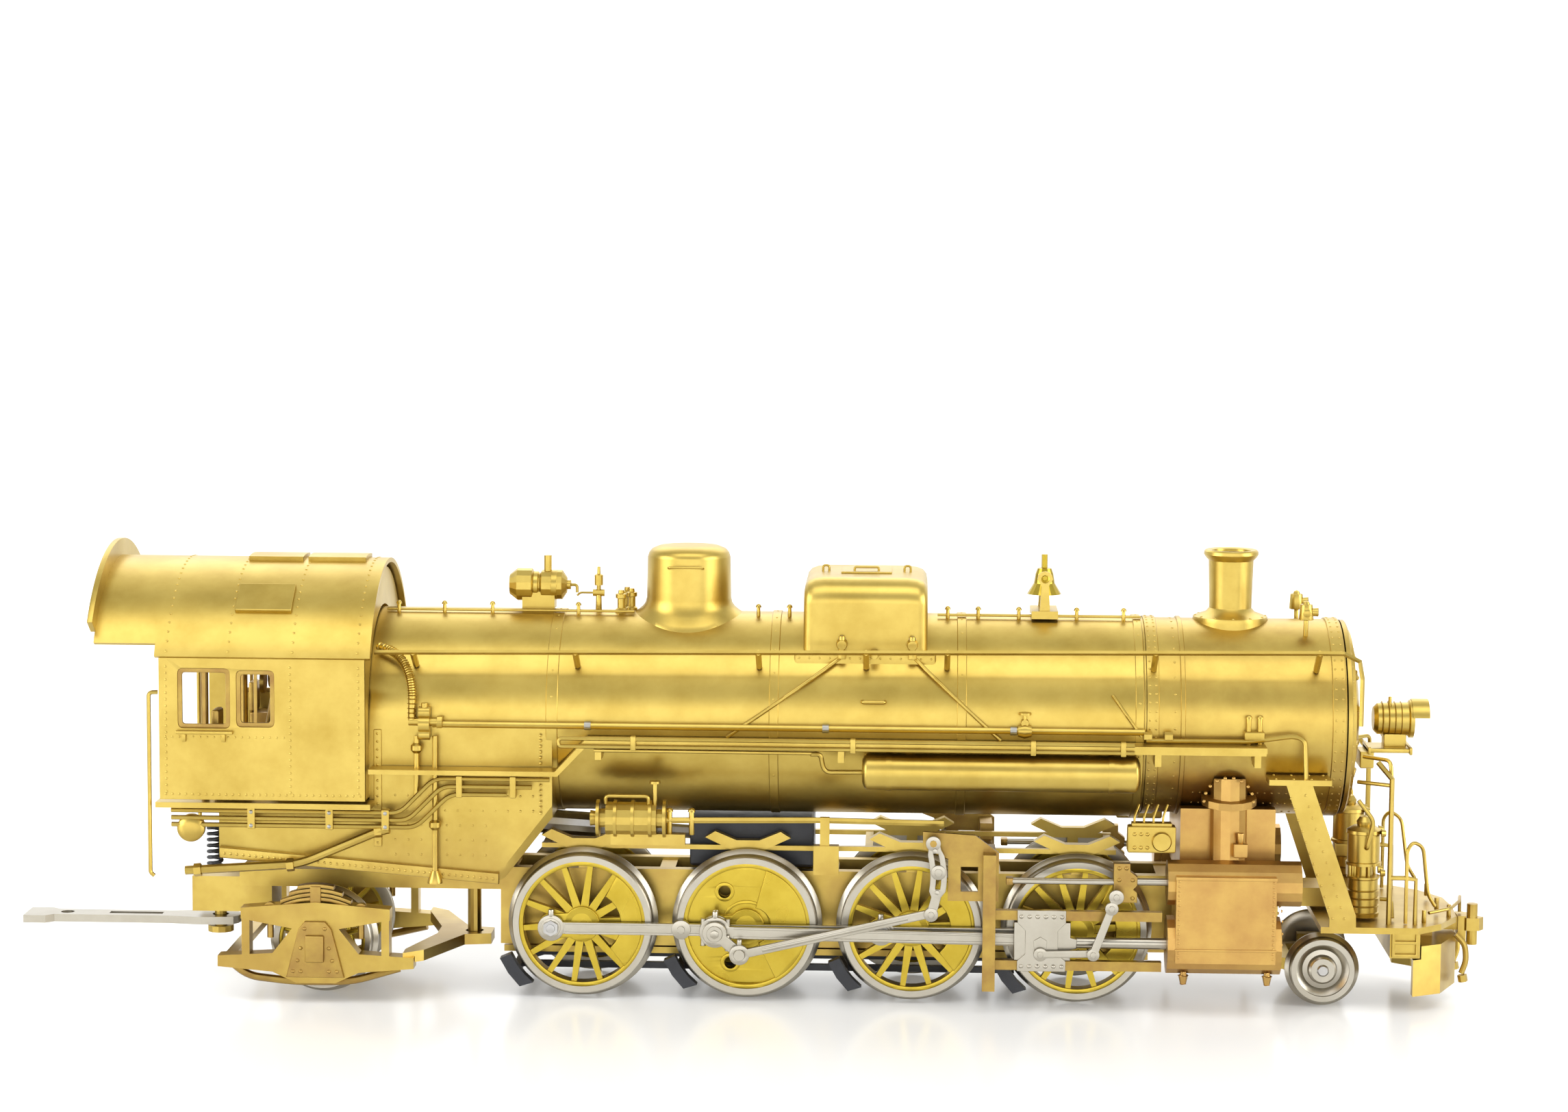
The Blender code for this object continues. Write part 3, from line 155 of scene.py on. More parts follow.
def plain(name, base, dark, rough, scale=400.0):
    """Moulded plastic or paint with a slightly uneven surface."""
    made = metal(name, base, dark, rough, 1.0, scale, bump=0.12)
    made.node_tree.nodes["Principled BSDF"].inputs["Metallic"].default_value = 0.0
    return made


# Brass is painted dark brown below 26 mm: a painted shade of the lower parts, mixed with stain blotches.
BRASS = metal("brass", (0.53, 0.388, 0.094), (0.41, 0.282, 0.056), 0.34, 1.0, 150.0,
    low=((14.0, 26.0), (0.27, 0.15, 0.045), 0.5))
BRIGHT = metal("bright_brass", (0.47, 0.345, 0.045), (0.39, 0.275, 0.028), 0.29, 0.8, 200.0, bump=0)
CAST = metal("cylinder_brass", (0.50, 0.315, 0.092), (0.37, 0.20, 0.065), 0.36, 1.2, 230.0)
STAINED = metal("stained_brass", (0.41, 0.28, 0.07), (0.22, 0.11, 0.045), 0.38, 1.5, 330.0)
# The smokebox is painted dark brown below 35 mm: a painted shade on its underside, mixed with stain blotches.
SMOKEBOX_STAINED_AND_SHADED = metal("smokebox_brass", (0.52, 0.375, 0.090), (0.38, 0.25, 0.055), 0.35, 1.1, 170.0,
    low=((24.0, 35.0), (0.15, 0.07, 0.06), 0.85))
NICKEL = metal("nickel", (0.41, 0.38, 0.315), (0.375, 0.345, 0.28), 0.30, 0.7, 260.0, bump=0)
STEEL = metal("steel", (0.44, 0.43, 0.41), (0.36, 0.35, 0.34), 0.32, 0.8, 500.0, bump=0)
SOLDER = metal("solder", (0.38, 0.37, 0.33), (0.28, 0.27, 0.24), 0.42, 1.0, 700.0, bump=0.2)
BALLAST = metal("ballast", (0.26, 0.26, 0.27), (0.17, 0.17, 0.18), 0.6, 1.0, 200.0, bump=0.3)
BLACK = plain("black_plastic", (0.014, 0.015, 0.020), (0.006, 0.006, 0.008), 0.42)
GLASS = plain("lens", (0.82, 0.80, 0.74), (0.60, 0.58, 0.52), 0.12)


# ---------------------------------------------------------------- shape building
def outline_mesh(outlines, half, bevel):
    """A plate in the x-y plane, 2*half thick: the first outline is its edge and the others are holes."""
    curve = bpy.data.curves.new("outline", "CURVE")
    curve.dimensions = "2D"
    curve.fill_mode = "BOTH"
    curve.extrude = max(half - bevel, 0.01)
    curve.bevel_depth = bevel
    curve.bevel_resolution = 1
    curve.offset = -bevel
    for points in outlines:
        spline = curve.splines.new("POLY")
        spline.points.add(len(points) - 1)
        for spot, (u, v) in zip(spline.points, points):
            spot.co = (u, v, 0.0, 1.0)
        spline.use_cyclic_u = True
    return converted(curve)


def converted(curve):
    """A curve turned into a mesh, with the curve thrown away."""
    holder = bpy.data.objects.new("holder", curve)
    bpy.context.scene.collection.objects.link(holder)
    bpy.context.view_layer.update()
    mesh = bpy.data.meshes.new_from_object(holder.evaluated_get(bpy.context.evaluated_depsgraph_get()))
    bpy.data.objects.remove(holder)
    bpy.data.curves.remove(curve)
    return mesh


def ring(x, z, r, steps=32, start=0.0, end=360.0):
    """Points on a circle, or on an arc when the turn isn't full."""
    turn = end - start
    count = steps if turn >= 360.0 else steps + 1
    return [spin(x, z, r, start + turn * i / steps) for i in range(count)]


def rounded(points, radius, steps=5, closed=False):
    """A path with its corners rounded."""
    spots = [Vector(p) for p in points]
    count = len(spots)
    path = [] if closed else [spots[0]]
    for i in range(count) if closed else range(1, count - 1):
        before, here, after = spots[i - 1], spots[i], spots[(i + 1) % count]
        cut = min(radius, (before - here).length * 0.48, (after - here).length * 0.48)
        start = here + (before - here).normalized() * cut
        end = here + (after - here).normalized() * cut
        for k in range(steps + 1):
            t = k / steps
            path.append(start * (1 - t) ** 2 + here * 2 * t * (1 - t) + end * t ** 2)
    if not closed:
        path.append(spots[-1])
    return [tuple(p) for p in path]


def rod_outline(ends, waist):
    """The edge of a flat bar whose ends are discs (x, z, r), with a straight-sided waist between them."""
    (x0, z0, r0), (x1, z1, r1) = ends
    angle = math.degrees(math.atan2(z1 - z0, x1 - x0))
    a0 = math.degrees(math.asin(min(waist / r0, 1.0)))
    a1 = math.degrees(math.asin(min(waist / r1, 1.0)))
    return (ring(x0, z0, r0, 20, angle + a0, angle + 360 - a0) + ring(x1, z1, r1, 20, angle - 180 + a1,
        angle + 180 - a1))


class Piece:
    """One mesh of closed shapes in one material that rides on one CAD body."""

    def __init__(self, name, material, body="body", replaces=None):
        self.name, self.material, self.body, self.replaces = name, material, body, replaces
        self.shapes = bmesh.new()

    def merge(self, shape, place=Matrix.Identity(4), bevel=0.0):
        """Adds a shape after rounding its sharp edges."""
        shape.transform(place)
        if bevel > 0:
            sharp = [e for e in shape.edges if e.is_manifold and e.calc_face_angle() > math.radians(34)]
            bmesh.ops.bevel(shape, geom=sharp, offset=bevel, segments=2, profile=0.5, affect="EDGES",
                clamp_overlap=True)
        bmesh.ops.recalc_face_normals(shape, faces=shape.faces)
        spare = bpy.data.meshes.new("spare")
        shape.to_mesh(spare)
        shape.free()
        self.shapes.from_mesh(spare)
        bpy.data.meshes.remove(spare)

    def box(self, low, high, bevel=0.1, place=Matrix.Identity(4)):
        """A block between two corners."""
        low, high = Vector(low), Vector(high)
        for i in range(3):
            if low[i] > high[i]:
                low[i], high[i] = high[i], low[i]
        shape = bmesh.new()
        bmesh.ops.create_cube(shape, size=1.0)
        size = high - low
        grow = Matrix.Translation((low + high) / 2) @ Matrix.Diagonal((*size, 1.0))
        shape.transform(grow)
        self.merge(shape, place, min(bevel, min(size) * 0.3))
        return self

    def rod(self, start, end, radius, end_radius=None, steps=24, bevel=0.07):
        """A round bar or a cone from start to end."""
        start, end = Vector(start), Vector(end)
        shape = bmesh.new()
        other = radius if end_radius is None else end_radius
        bmesh.ops.create_cone(shape, cap_ends=True, segments=steps, radius1=radius, radius2=other,
            depth=(end - start).length)
        turn = Vector((0, 0, 1)).rotation_difference(end - start).to_matrix().to_4x4()
        place = Matrix.Translation((start + end) / 2) @ turn
        self.merge(shape, place, min(bevel, radius * 0.3, other * 0.3, (end - start).length * 0.3))
        return self

    def loft(self, loops, caps=True, place=Matrix.Identity(4), bevel=0.0):
        """Skins closed loops of points one after another, a loop of one point being a tip. It is closed by a
        cap at each end or, without caps, by joining the last loop to the first."""
        shape = bmesh.new()
        rings = [[shape.verts.new(point) for point in loop] for loop in loops]
        for one, two in zip(rings, rings[1:] if caps else rings[1:] + rings[:1]):
            count = max(len(one), len(two))
            for k in range(count):
                after = (k + 1) % count
                if len(one) == 1:
                    shape.faces.new((one[0], two[k], two[after]))
                elif len(two) == 1:
                    shape.faces.new((one[k], two[0], one[after]))
                else:
                    shape.faces.new((one[k], one[after], two[after], two[k]))
        for end in (rings[0], rings[-1]) if caps else ():
            if len(end) > 1:
                shape.faces.new(end)
        self.merge(shape, place, bevel)
        return self

    def lathe(self, profile, origin, axis, steps=64, bevel=0.0):
        """A solid turned about an axis from points (along the axis, radius), closed at both ends."""
        loops = [[(*spin(0, 0, radius, 360 * k / steps), along) for k in range(steps)] if radius
            else [(0, 0, along)] for along, radius in profile]
        turn = Vector((0, 0, 1)).rotation_difference(Vector(axis)).to_matrix().to_4x4()
        return self.loft(loops, True, Matrix.Translation(origin) @ turn, bevel)

    def plate(self, outlines, low_y, high_y, bevel=0.08, place=None):
        """A flat plate with its outline in x and z, from low_y to high_y; more outlines are holes."""
        low_y, high_y = min(low_y, high_y), max(low_y, high_y)
        if not isinstance(outlines[0][0], (tuple, list)):
            outlines = [outlines]
        half = (high_y - low_y) / 2
        mesh = outline_mesh(outlines, half, min(bevel, half * 0.5))
        shape = bmesh.new()
        shape.from_mesh(mesh)
        bpy.data.meshes.remove(mesh)
        bmesh.ops.remove_doubles(shape, verts=shape.verts, dist=1e-4)
        stand = Matrix(((1, 0, 0, 0), (0, 0, -1, low_y + half), (0, 1, 0, 0), (0, 0, 0, 1)))
        self.merge(shape, (place or Matrix.Identity(4)) @ stand)
        return self

    def across(self, outlines, low_x, high_x, bevel=0.08):
        """A plate with its outline in y and z, from low_x to high_x."""
        turn = Matrix(((0, 1, 0, 0), (1, 0, 0, 0), (0, 0, 1, 0), (0, 0, 0, 1)))
        return self.plate(outlines, low_x, high_x, bevel, turn)

    def tube(self, points, radius, bend=1.2, sides=3):
        """A pipe along a path with rounded bends."""
        curve = bpy.data.curves.new("path", "CURVE")
        curve.dimensions = "3D"
        curve.bevel_depth = radius
        curve.bevel_resolution = sides
        curve.use_fill_caps = True
        path = rounded(points, bend) if len(points) > 2 else points
        spline = curve.splines.new("POLY")
        spline.points.add(len(path) - 1)
        for spot, place in zip(spline.points, path):
            spot.co = (*place, 1.0)
        mesh = converted(curve)
        shape = bmesh.new()
        shape.from_mesh(mesh)
        bpy.data.meshes.remove(mesh)
        bmesh.ops.remove_doubles(shape, verts=shape.verts, dist=1e-4)
        self.merge(shape)
        return self

    def rivets(self, spots, outward, radius=0.2, height=0.55, sides=10):
        """Domed rivet heads: each spot gets one standing along outward, or along its own direction."""
        for i, spot in enumerate(spots):
            up = Vector(outward[i] if isinstance(outward, list) else outward).normalized()
            turn = Vector((0, 0, 1)).rotation_difference(up).to_matrix()
            rings = []
            for along, r in ((-0.12, 1.0), (height * 0.45, 0.86), (height * 0.85, 0.5)):
                rings.append([self.shapes.verts.new(Vector(spot) + turn @ Vector((*dot, along * radius)))
                    for dot in ring(0, 0, r * radius, sides)])
            top = self.shapes.verts.new(Vector(spot) + turn @ Vector((0, 0, height * radius)))
            self.shapes.faces.new(list(reversed(rings[0])))
            for one, two in zip(rings, rings[1:]):
                for k in range(sides):
                    after = (k + 1) % sides
                    self.shapes.faces.new((one[k], one[after], two[after], two[k]))
            for k in range(sides):
                self.shapes.faces.new((rings[-1][k], rings[-1][(k + 1) % sides], top))
        return self

    def mirror(self):
        """Adds the other side's copy of everything that the piece holds so far."""
        parts = self.shapes.verts[:] + self.shapes.edges[:] + self.shapes.faces[:]
        copy = bmesh.ops.duplicate(self.shapes, geom=parts)["geom"]
        for item in copy:
            if isinstance(item, bmesh.types.BMVert):
                item.co.y = -item.co.y
        bmesh.ops.reverse_faces(self.shapes, faces=[item for item in copy
            if isinstance(item, bmesh.types.BMFace)])

    def make(self):
        """The finished object, riding its body."""
        bmesh.ops.scale(self.shapes, vec=(MM, MM, MM), verts=self.shapes.verts)
        mesh = bpy.data.meshes.new(self.name)
        self.shapes.to_mesh(mesh)
        self.shapes.free()
        mesh.materials.append(self.material)
        mesh.shade_smooth()
        mesh.set_sharp_from_angle(angle=math.radians(36))
        made = bpy.data.objects.new(self.name, mesh)
        bpy.context.scene.collection.objects.link(made)
        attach(made, self.body)
        made.modifiers.new("flat faces stay flat", "WEIGHTED_NORMAL").keep_sharp = True
        if self.replaces:
            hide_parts(self.replaces)
        return made


def row(start, end, count):
    """Evenly spaced points from start to end."""
    a, b = Vector(start), Vector(end)
    return [tuple(a.lerp(b, i / (count - 1))) for i in range(count)]


def around(x, z, r, angles):
    """Points on the barrel and their outward directions at the angles, measured from the left side upward."""
    return [(x, *spin(0, z, r, a)) for a in angles], [(0, *spin(0, 0, 1, a)) for a in angles]


# ---------------------------------------------------------------- wheels

def tyre(piece, x, z, side, flange, tread, inner, back=7.25, face=9.9):
    """A flanged tyre ring with a coned tread and a chamfered front edge."""
    section = [(back, inner), (back, flange - 0.2), (back + 0.12, flange - 0.02),
        (back + 0.4, flange - 0.02), (back + 0.62, flange - 0.3), (back + 0.8, tread + 0.02),
        (face - 0.15, tread - 0.05), (face, tread - 0.2), (face, inner)]
    piece.loft([[(px, side * y, pz) for px, pz in ring(x, z, r, 96)] for y, r in section], False)


def driver(index):
    """A driving wheelset: tyres, axle, and brass centres with thin spokes, hub, counterweight and pins."""
    x = DRIVER_X[index]
    node, body = f"drive_wheelset_{index + 1}", ("driver_1", "main_drivers", "driver_3", "driver_4")[index]
    tyres = Piece(f"tyres_{index + 1}", NICKEL, body, node)
    centres = Piece(f"wheel_centres_{index + 1}", BRIGHT, body, node)
    axle = Piece(f"driving_axle_{index + 1}", STEEL, body, node)
    axle.lathe([(-9.95, 0), (-9.95, 1.0), (-9.8, 1.15), (-7.3, 1.15), (-7.3, 1.5), (7.3, 1.5), (7.3, 1.15),
        (9.8, 1.15), (9.95, 1.0), (9.95, 0)], (x, 0, AXLE_Z), (0, 1, 0), 32)
    for side in SIDES:
        tyre(tyres, x, AXLE_Z, side, 9.65, 9.05, 8.1)
        pin_x, pin_z = crank_pin(x, side)
        pin_angle = CRANK_ANGLE[side]
        centres.plate([ring(x, AXLE_Z, 8.2, 72), ring(x, AXLE_Z, 7.55, 72)], side * 7.7, side * 9.75, 0.1)
        centres.rod((x, side * 7.6, AXLE_Z), (x, side * 10.0, AXLE_Z), 2.35, 2.15, 40, 0.12)
        centres.rod((x, side * 9.9, AXLE_Z), (x, side * 10.1, AXLE_Z), 1.45, None, 32)
        centres.plate(rod_outline(((x, AXLE_Z, 2.3), (pin_x, pin_z, 1.75)), 1.6), side * 7.9, side * 9.95,
            0.12)
        middle = index == 1
        for k in range(0 if middle else SPOKES):
            angle = math.radians(pin_angle + 360 * k / SPOKES)
            c, s = math.cos(angle), math.sin(angle)
            centres.loft([[(x + r * c - e * wide * s, side * y, AXLE_Z + r * s + e * wide * c) for y,
                e in ((8.25, -1), (8.25, 1), (9.45, 1), (9.45, -1))] for r,
                wide in ((1.9, 0.52), (7.7, 0.33))], bevel=0.12)
        back = pin_angle + 180
        spread = 66 if middle else 50
        rim = ring(x, AXLE_Z, 7.7, 24, back - spread, back + spread)
        chord = 2.6 if middle else 4.5
        inner = []
        for i in range(9):
            t = spread - 2 * spread * i / 8
            inner.append(spin(x, AXLE_Z, chord + 0.5 * math.cos(math.radians(t * 1.3)), back + t * 0.9))
        centres.plate([rim + inner], side * 8.0, side * 9.9, 0.14)
        if middle:
            web = ring(x, AXLE_Z, 7.7, 64)
            holes = [spin(x, AXLE_Z, 5.2, back + d) for d in (118, -118)]
            centres.plate([web] + [ring(*hole, 0.75, 20) for hole in holes], side * 7.9, side * 9.3, 0.12)
            for hole in holes:
                centres.plate([ring(*hole, 1.25, 32), ring(*hole, 0.78, 28)], side * 9.1, side * 9.5, 0.08)
            centres.plate([ring(x, AXLE_Z, 3.3, 40), ring(x, AXLE_Z, 2.9, 40)], side * 9.2, side * 9.45, 0.08)
        centres.rod((pin_x, side * 9.8, pin_z), (pin_x, side * 10.15, pin_z), 1.2, None, 28)
        axle.rod((pin_x, side * 10.0, pin_z), (pin_x, side * (12.45 if middle else 10.95), pin_z), 0.68,
            None, 24)
        if not middle:
            axle.rod((pin_x, side * 10.95, pin_z), (pin_x, side * 11.3, pin_z), 1.05, None, 6, 0.05)
            axle.rod((pin_x, side * 11.2, pin_z), (pin_x, side * 11.45, pin_z), 0.55, None, 16)
    for piece in (tyres, centres, axle):
        piece.make()


def small_wheels(name, node, body, x, z, flange, tread, axle_end, spoked):
    """A truck wheelset."""
    tyres = Piece(name + "_tyres", NICKEL, body, node)
    discs = Piece(name + "_centres", BRIGHT if spoked else NICKEL, body, node)
    axle = Piece(name + "_axle", STEEL, body, node)
    radius = 1.15 if spoked else 0.88
    axle.lathe([(-axle_end, 0), (-axle_end, radius - 0.3), (-axle_end + 0.3, radius),
        (axle_end - 0.3, radius), (axle_end, radius - 0.3), (axle_end, 0)], (x, 0, z), (0, 1, 0), 28)
    for side in SIDES:
        inner = tread - 0.85
        tyre(tyres, x, z, side, flange, tread, inner, 6.9 if not spoked else 7.25, 8.9 if not spoked else 9.7)
        face = 8.9 if not spoked else 9.7
        if spoked:
            discs.plate([ring(x, z, inner + 0.1, 60), ring(x, z, inner - 0.5, 60)], side * 7.6, side * 9.5)
            discs.rod((x, side * 7.6, z), (x, side * 9.8, z), 1.7, 1.5, 32, 0.12)
            for k in range(12):
                (near_x, near_z), (far_x, far_z) = (spin(x, z, r, 30 * k + 15) for r in (1.3, inner - 0.3))
                discs.rod((near_x, side * 8.7, near_z), (far_x, side * 8.7, far_z), 0.42, 0.3, 10, 0)
        else:
            discs.lathe([(7.3, 0), (7.3, inner + 0.15), (face - 0.35, inner + 0.15),
                (face - 0.6, inner - 0.3), (face - 1.15, 2.5), (face - 1.05, 1.9), (face - 0.3, 1.75),
                (face - 0.1, 1.5), (face - 0.1, 0)], (x, 0, z), (0, side, 0), 56)
    for piece in (tyres, discs, axle):
        piece.make()


# ---------------------------------------------------------------- rods and valve gear
def side_rod(side):
    """Coupling rod with an eye at each crank pin, oil cups and a knuckle joint."""
    tag = side_name(side)
    rod = Piece("coupling_rod_" + tag, NICKEL, "side_rod_" + tag, "side_rod_" + tag)
    pins = [crank_pin(x, side) for x in DRIVER_X]
    low, high = side * 10.2, side * 10.8
    for (x, z), main in zip(pins, (False, True, False, False)):
        r = 1.95 if main else 1.7
        rod.plate([ring(x, z, r, 40), ring(x, z, 0.82, 28)], side * 10.15, side * 10.85, 0.1)
        rod.plate([ring(x, z, r - 0.45, 36), ring(x, z, 0.82, 28)], side * 10.8, side * 10.95, 0.05)
        rod.rod((x, side * 10.5, z + r - 0.3), (x, side * 10.5, z + r + 0.65), 0.42, 0.36, 16)
    for (x0, z0), (x1, z1) in zip(pins, pins[1:]):
        rod.plate([(x0 + 1.2, z0 - 0.75), (x1 - 1.2, z1 - 0.75), (x1 - 1.2, z1 + 0.75),
            (x0 + 1.2, z0 + 0.75)], low, high, 0.08)
        for z in (-0.62, 0.62):
            rod.box((x0 + 1.8, side * 10.7, z0 + z - 0.13), (x1 - 1.8, side * 10.93, z0 + z + 0.13), 0.05)
    knuckle = (pins[1][0] - 4.4, pins[1][1])
    rod.plate([ring(*knuckle, 1.25, 28)], side * 10.1, side * 10.95, 0.1)
    rod.rod((knuckle[0], side * 10.9, knuckle[1]), (knuckle[0], side * 11.2, knuckle[1]), 0.5, None, 16)
    rod.make()


def between(start, end, share):
    """The point part of the way from start to end."""
    return tuple(a + (b - a) * share for a, b in zip(start, end))


def main_rod(side):
    """Fluted connecting rod with a strapped big end and a round small end."""
    tag = side_name(side)
    big, small = crank_pin(0.0, side), (WRIST_X[side] - 0.2, PISTON_Z)
    rod = Piece("connecting_rod_" + tag, NICKEL, "main_rod_" + tag, "main_rod_" + tag)
    low, high = side * 11.62, side * 12.25
    rod.plate([rod_outline(((*big, 2.0), (*small, 1.3)), 0.8), ring(*big, 0.8, 28)], low, high, 0.1)
    along = (Vector(small) - Vector(big)).normalized()
    up = Vector((-along.y, along.x))
    for sign in (-1, 1):
        a = Vector(big) + along * 2.4 + up * sign * 0.72
        b = Vector(small) - along * 1.6 + up * sign * 0.6
        w = up * sign * 0.26
        rod.plate([tuple(a - w), tuple(b - w), tuple(b), tuple(a)], side * 12.1, side * 12.4, 0.05)
    for shift in (-1.5, 1.6):
        spot = Vector(big) + along * shift
        rod.rod((spot.x + up.x * 1.75, side * 11.9, spot.y + up.y * 1.75),
            (spot.x - up.x * 1.75, side * 11.9, spot.y - up.y * 1.75), 0.32, None, 12)
    rod.rod((small[0], side * 11.7, small[1]), (small[0], side * 12.4, small[1]), 0.75, None, 24)
    rod.rod((big[0], side * 11.9, big[1] + 1.8), (big[0], side * 11.9, big[1] + 2.7), 0.42, 0.36, 16)
    rod.make()


def return_crank(side):
    """Return crank: a waisted arm with a clamp boss on the main pin and a bolt through it."""
    tag = side_name(side)
    main, pin = crank_pin(0.0, side), ECCENTRIC_PIN[side]
    crank = Piece("eccentric_crank_" + tag, NICKEL, "main_drivers", "return_crank_" + tag)
    crank.plate(rod_outline(((*main, 1.55), (*pin, 1.05)), 0.7), side * 12.62, side * 13.2, 0.12)
    crank.rod((main[0], side * 12.3, main[1]), (main[0], side * 13.45, main[1]), 1.15, 1.0, 28)
    crank.rod((main[0], side * 13.4, main[1]), (main[0], side * 13.62, main[1]), 0.6, None, 6)
    mid = between(main, pin, 0.5)
    crank.rod((mid[0], side * 12.7, mid[1] - 1.0), (mid[0], side * 12.7, mid[1] + 1.0), 0.3, None, 12)
    crank.rod((pin[0], side * 13.1, pin[1]), (pin[0], side * 14.15, pin[1]), 0.42, None, 18)
    crank.rod((pin[0], side * 14.1, pin[1]), (pin[0], side * 14.35, pin[1]), 0.7, None, 20)
    crank.make()


def eccentric_rod(side):
    """Eccentric rod: tapered bar with a large rear eye and a forked front end."""
    tag = side_name(side)
    pin, foot = ECCENTRIC_PIN[side], LINK_FOOT[side]
    rod = Piece("eccentric_bar_" + tag, NICKEL, "eccentric_rod_" + tag, "eccentric_rod_" + tag)
    rod.plate([rod_outline(((*pin, 1.3), (*foot, 0.85)), 0.55), ring(*pin, 0.5, 20), ring(*foot, 0.4, 18)],
        side * 13.5, side * 14.0, 0.1)
    near = between(pin, foot, 0.12)
    far = between(pin, foot, 0.88)
    rod.rod((near[0], side * 13.75, near[1]), (far[0], side * 13.75, far[1]), 0.4, 0.3, 16)
    rod.rod((pin[0], side * 13.5, pin[1] + 1.1), (pin[0], side * 13.5, pin[1] + 1.9), 0.32, None, 14)
    rod.make()


def gear_link(side):
    """Expansion link: a bright curved bar with a die slot, trunnion cap and tail."""
    tag = side_name(side)
    top, foot = LINK_TOP, LINK_FOOT[side]
    link = Piece("expansion_link_" + tag, NICKEL, "gear_link_" + tag, "gear_link_" + tag)
    edge, other = [], []
    lean = Vector((foot[0] - top[0], foot[1] - top[1]))
    side_way = Vector((lean.y, -lean.x)).normalized()
    for i in range(13):
        t = i / 12
        spot = Vector(top) + lean * t + side_way * (-0.8 * math.sin(math.pi * t))
        wide = 1.05 if 0.1 < t < 0.72 else (0.8 if t <= 0.1 else 0.62)
        edge.append(tuple(spot + side_way * wide))
        other.append(tuple(spot - side_way * wide))
    slot_edge, slot_other = [], []
    for i in range(7):
        t = 0.14 + 0.5 * i / 6
        spot = Vector(top) + lean * t + side_way * (-0.8 * math.sin(math.pi * t))
        slot_edge.append(tuple(spot + side_way * 0.32))
        slot_other.append(tuple(spot - side_way * 0.32))
    link.plate([edge + other[::-1], slot_edge + slot_other[::-1]], side * 14.4, side * 14.8, 0.08)
    hub = Vector(top) + lean * 0.4 + side_way * -0.76
    link.plate([ring(hub.x, hub.y, 0.95, 26)], side * 14.55, side * 15.0, 0.1)
    link.rod((hub.x, side * 14.9, hub.y), (hub.x, side * 15.15, hub.y), 0.5, None, 16)
    link.plate([ring(*top, 0.95, 26)], side * 14.38, side * 14.85, 0.08)
    link.plate([ring(*foot, 0.9, 26)], side * 14.3, side * 14.85, 0.08)
    link.rod((foot[0], side * 14.1, foot[1]), (foot[0], side * 15.05, foot[1]), 0.42, None, 14)
    for t in (0.1, 0.68):
        spot = Vector(top) + lean * t + side_way * (-0.8 * math.sin(math.pi * t))
        link.rod((spot.x, side * 14.7, spot.y), (spot.x, side * 14.98, spot.y), 0.35, None, 6)
    link.make()


def crosshead(side):
    """Crosshead: body, slipper blocks with bolt rows, side plate, piston rod and union link."""
    tag = side_name(side)
    x, node = WRIST_X[side], "crosshead_" + tag
    head = Piece("crosshead_body_" + tag, NICKEL, node, node)
    head.plate([[(x - 3.3, 6.75), (x + 3.8, 6.75), (x + 3.8, 8.1), (x + 4.6, 8.3), (x + 4.6, 9.5),
        (x + 3.8, 9.7), (x + 3.8, 11.6), (x - 3.3, 11.6)]], side * 12.65, side * 14.25, 0.14)
    plate = [(x - 2.9, 5.4), (x + 3.2, 5.4), (x + 3.2, 6.7), (x + 2.2, 7.6), (x + 2.2, 10.6),
        (x + 3.2, 11.6), (x + 3.2, 13.2), (x - 2.9, 13.2), (x - 2.9, 11.6), (x - 1.9, 10.6), (x - 1.9, 7.6),
        (x - 2.9, 6.7)]
    head.plate(plate, side * 14.1, side * 14.55, 0.08)
    for z in (6.05, 12.4):
        head.rivets(row((x - 2.4, side * 14.55, z), (x + 2.7, side * 14.55, z), 6), (0, side, 0), 0.3, 0.7)
    head.rod((x, side * 14.4, PISTON_Z), (x, side * 14.75, PISTON_Z), 0.95, None, 6)
    bright = Piece("piston_rod_" + tag, NICKEL, node, node)
    bright.rod((x + 4.2, side * CYLINDER_Y, PISTON_Z), (x + 21.0, side * CYLINDER_Y, PISTON_Z), 0.72, None,
        28)
    union = Piece("union_link_" + tag, NICKEL, node, node)
    ends = ((x, 7.7, 0.85), (LEVER_FOOT[side][0], LEVER_FOOT[side][1], 0.75))
    union.plate(rod_outline(ends, 0.45), side * 14.9, side * 15.3, 0.09)
    union.rod((x, side * 14.5, 7.7), (x, side * 15.45, 7.7), 0.4, None, 16)
    for piece in (head, bright, union):
        piece.make()


def valve_stem(side):
    """Valve crosshead with its lugs, two thin guide rods and the stem."""
    tag = side_name(side)
    node = "valve_stem_" + tag
    x = LEVER_TOP[0]
    block = Piece("valve_crosshead_" + tag, STAINED, node, node)
    block.plate([[(46.4, 14.3), (49.4, 14.3), (49.4, 15.6), (48.9, 16.0), (49.4, 16.5), (49.4, 17.6),
        (48.5, 18.3), (48.5, 19.3), (46.4, 19.3), (46.4, 18.0)]], side * 12.75, side * 14.35, 0.14)
    block.rivets([(47.1, side * 14.35, 18.7), (48.0, side * 14.35, 18.7), (47.1, side * 14.35, 17.2),
        (48.8, side * 14.35, 17.2), (48.8, side * 14.35, 14.9)], (0, side, 0), 0.28, 0.7)
    block.box((32.9, side * 12.7, 16.35), (33.8, side * 14.3, 17.25), 0.12)
    rods = Piece("valve_rods_" + tag, NICKEL, node, node)
    for y in (13.0, 14.0):
        rods.rod((33.3, side * y, VALVE_Z), (46.8, side * y, VALVE_Z), 0.3, None, 14)
    rods.rod((49.0, side * CYLINDER_Y, VALVE_Z), (57.0, side * CYLINDER_Y, VALVE_Z), 0.45, None, 18)
    rods.rod((x, side * 14.2, LEVER_TOP[1]), (x, side * 15.6, LEVER_TOP[1]), 0.42, None, 14)
    for piece in (block, rods):
        piece.make()


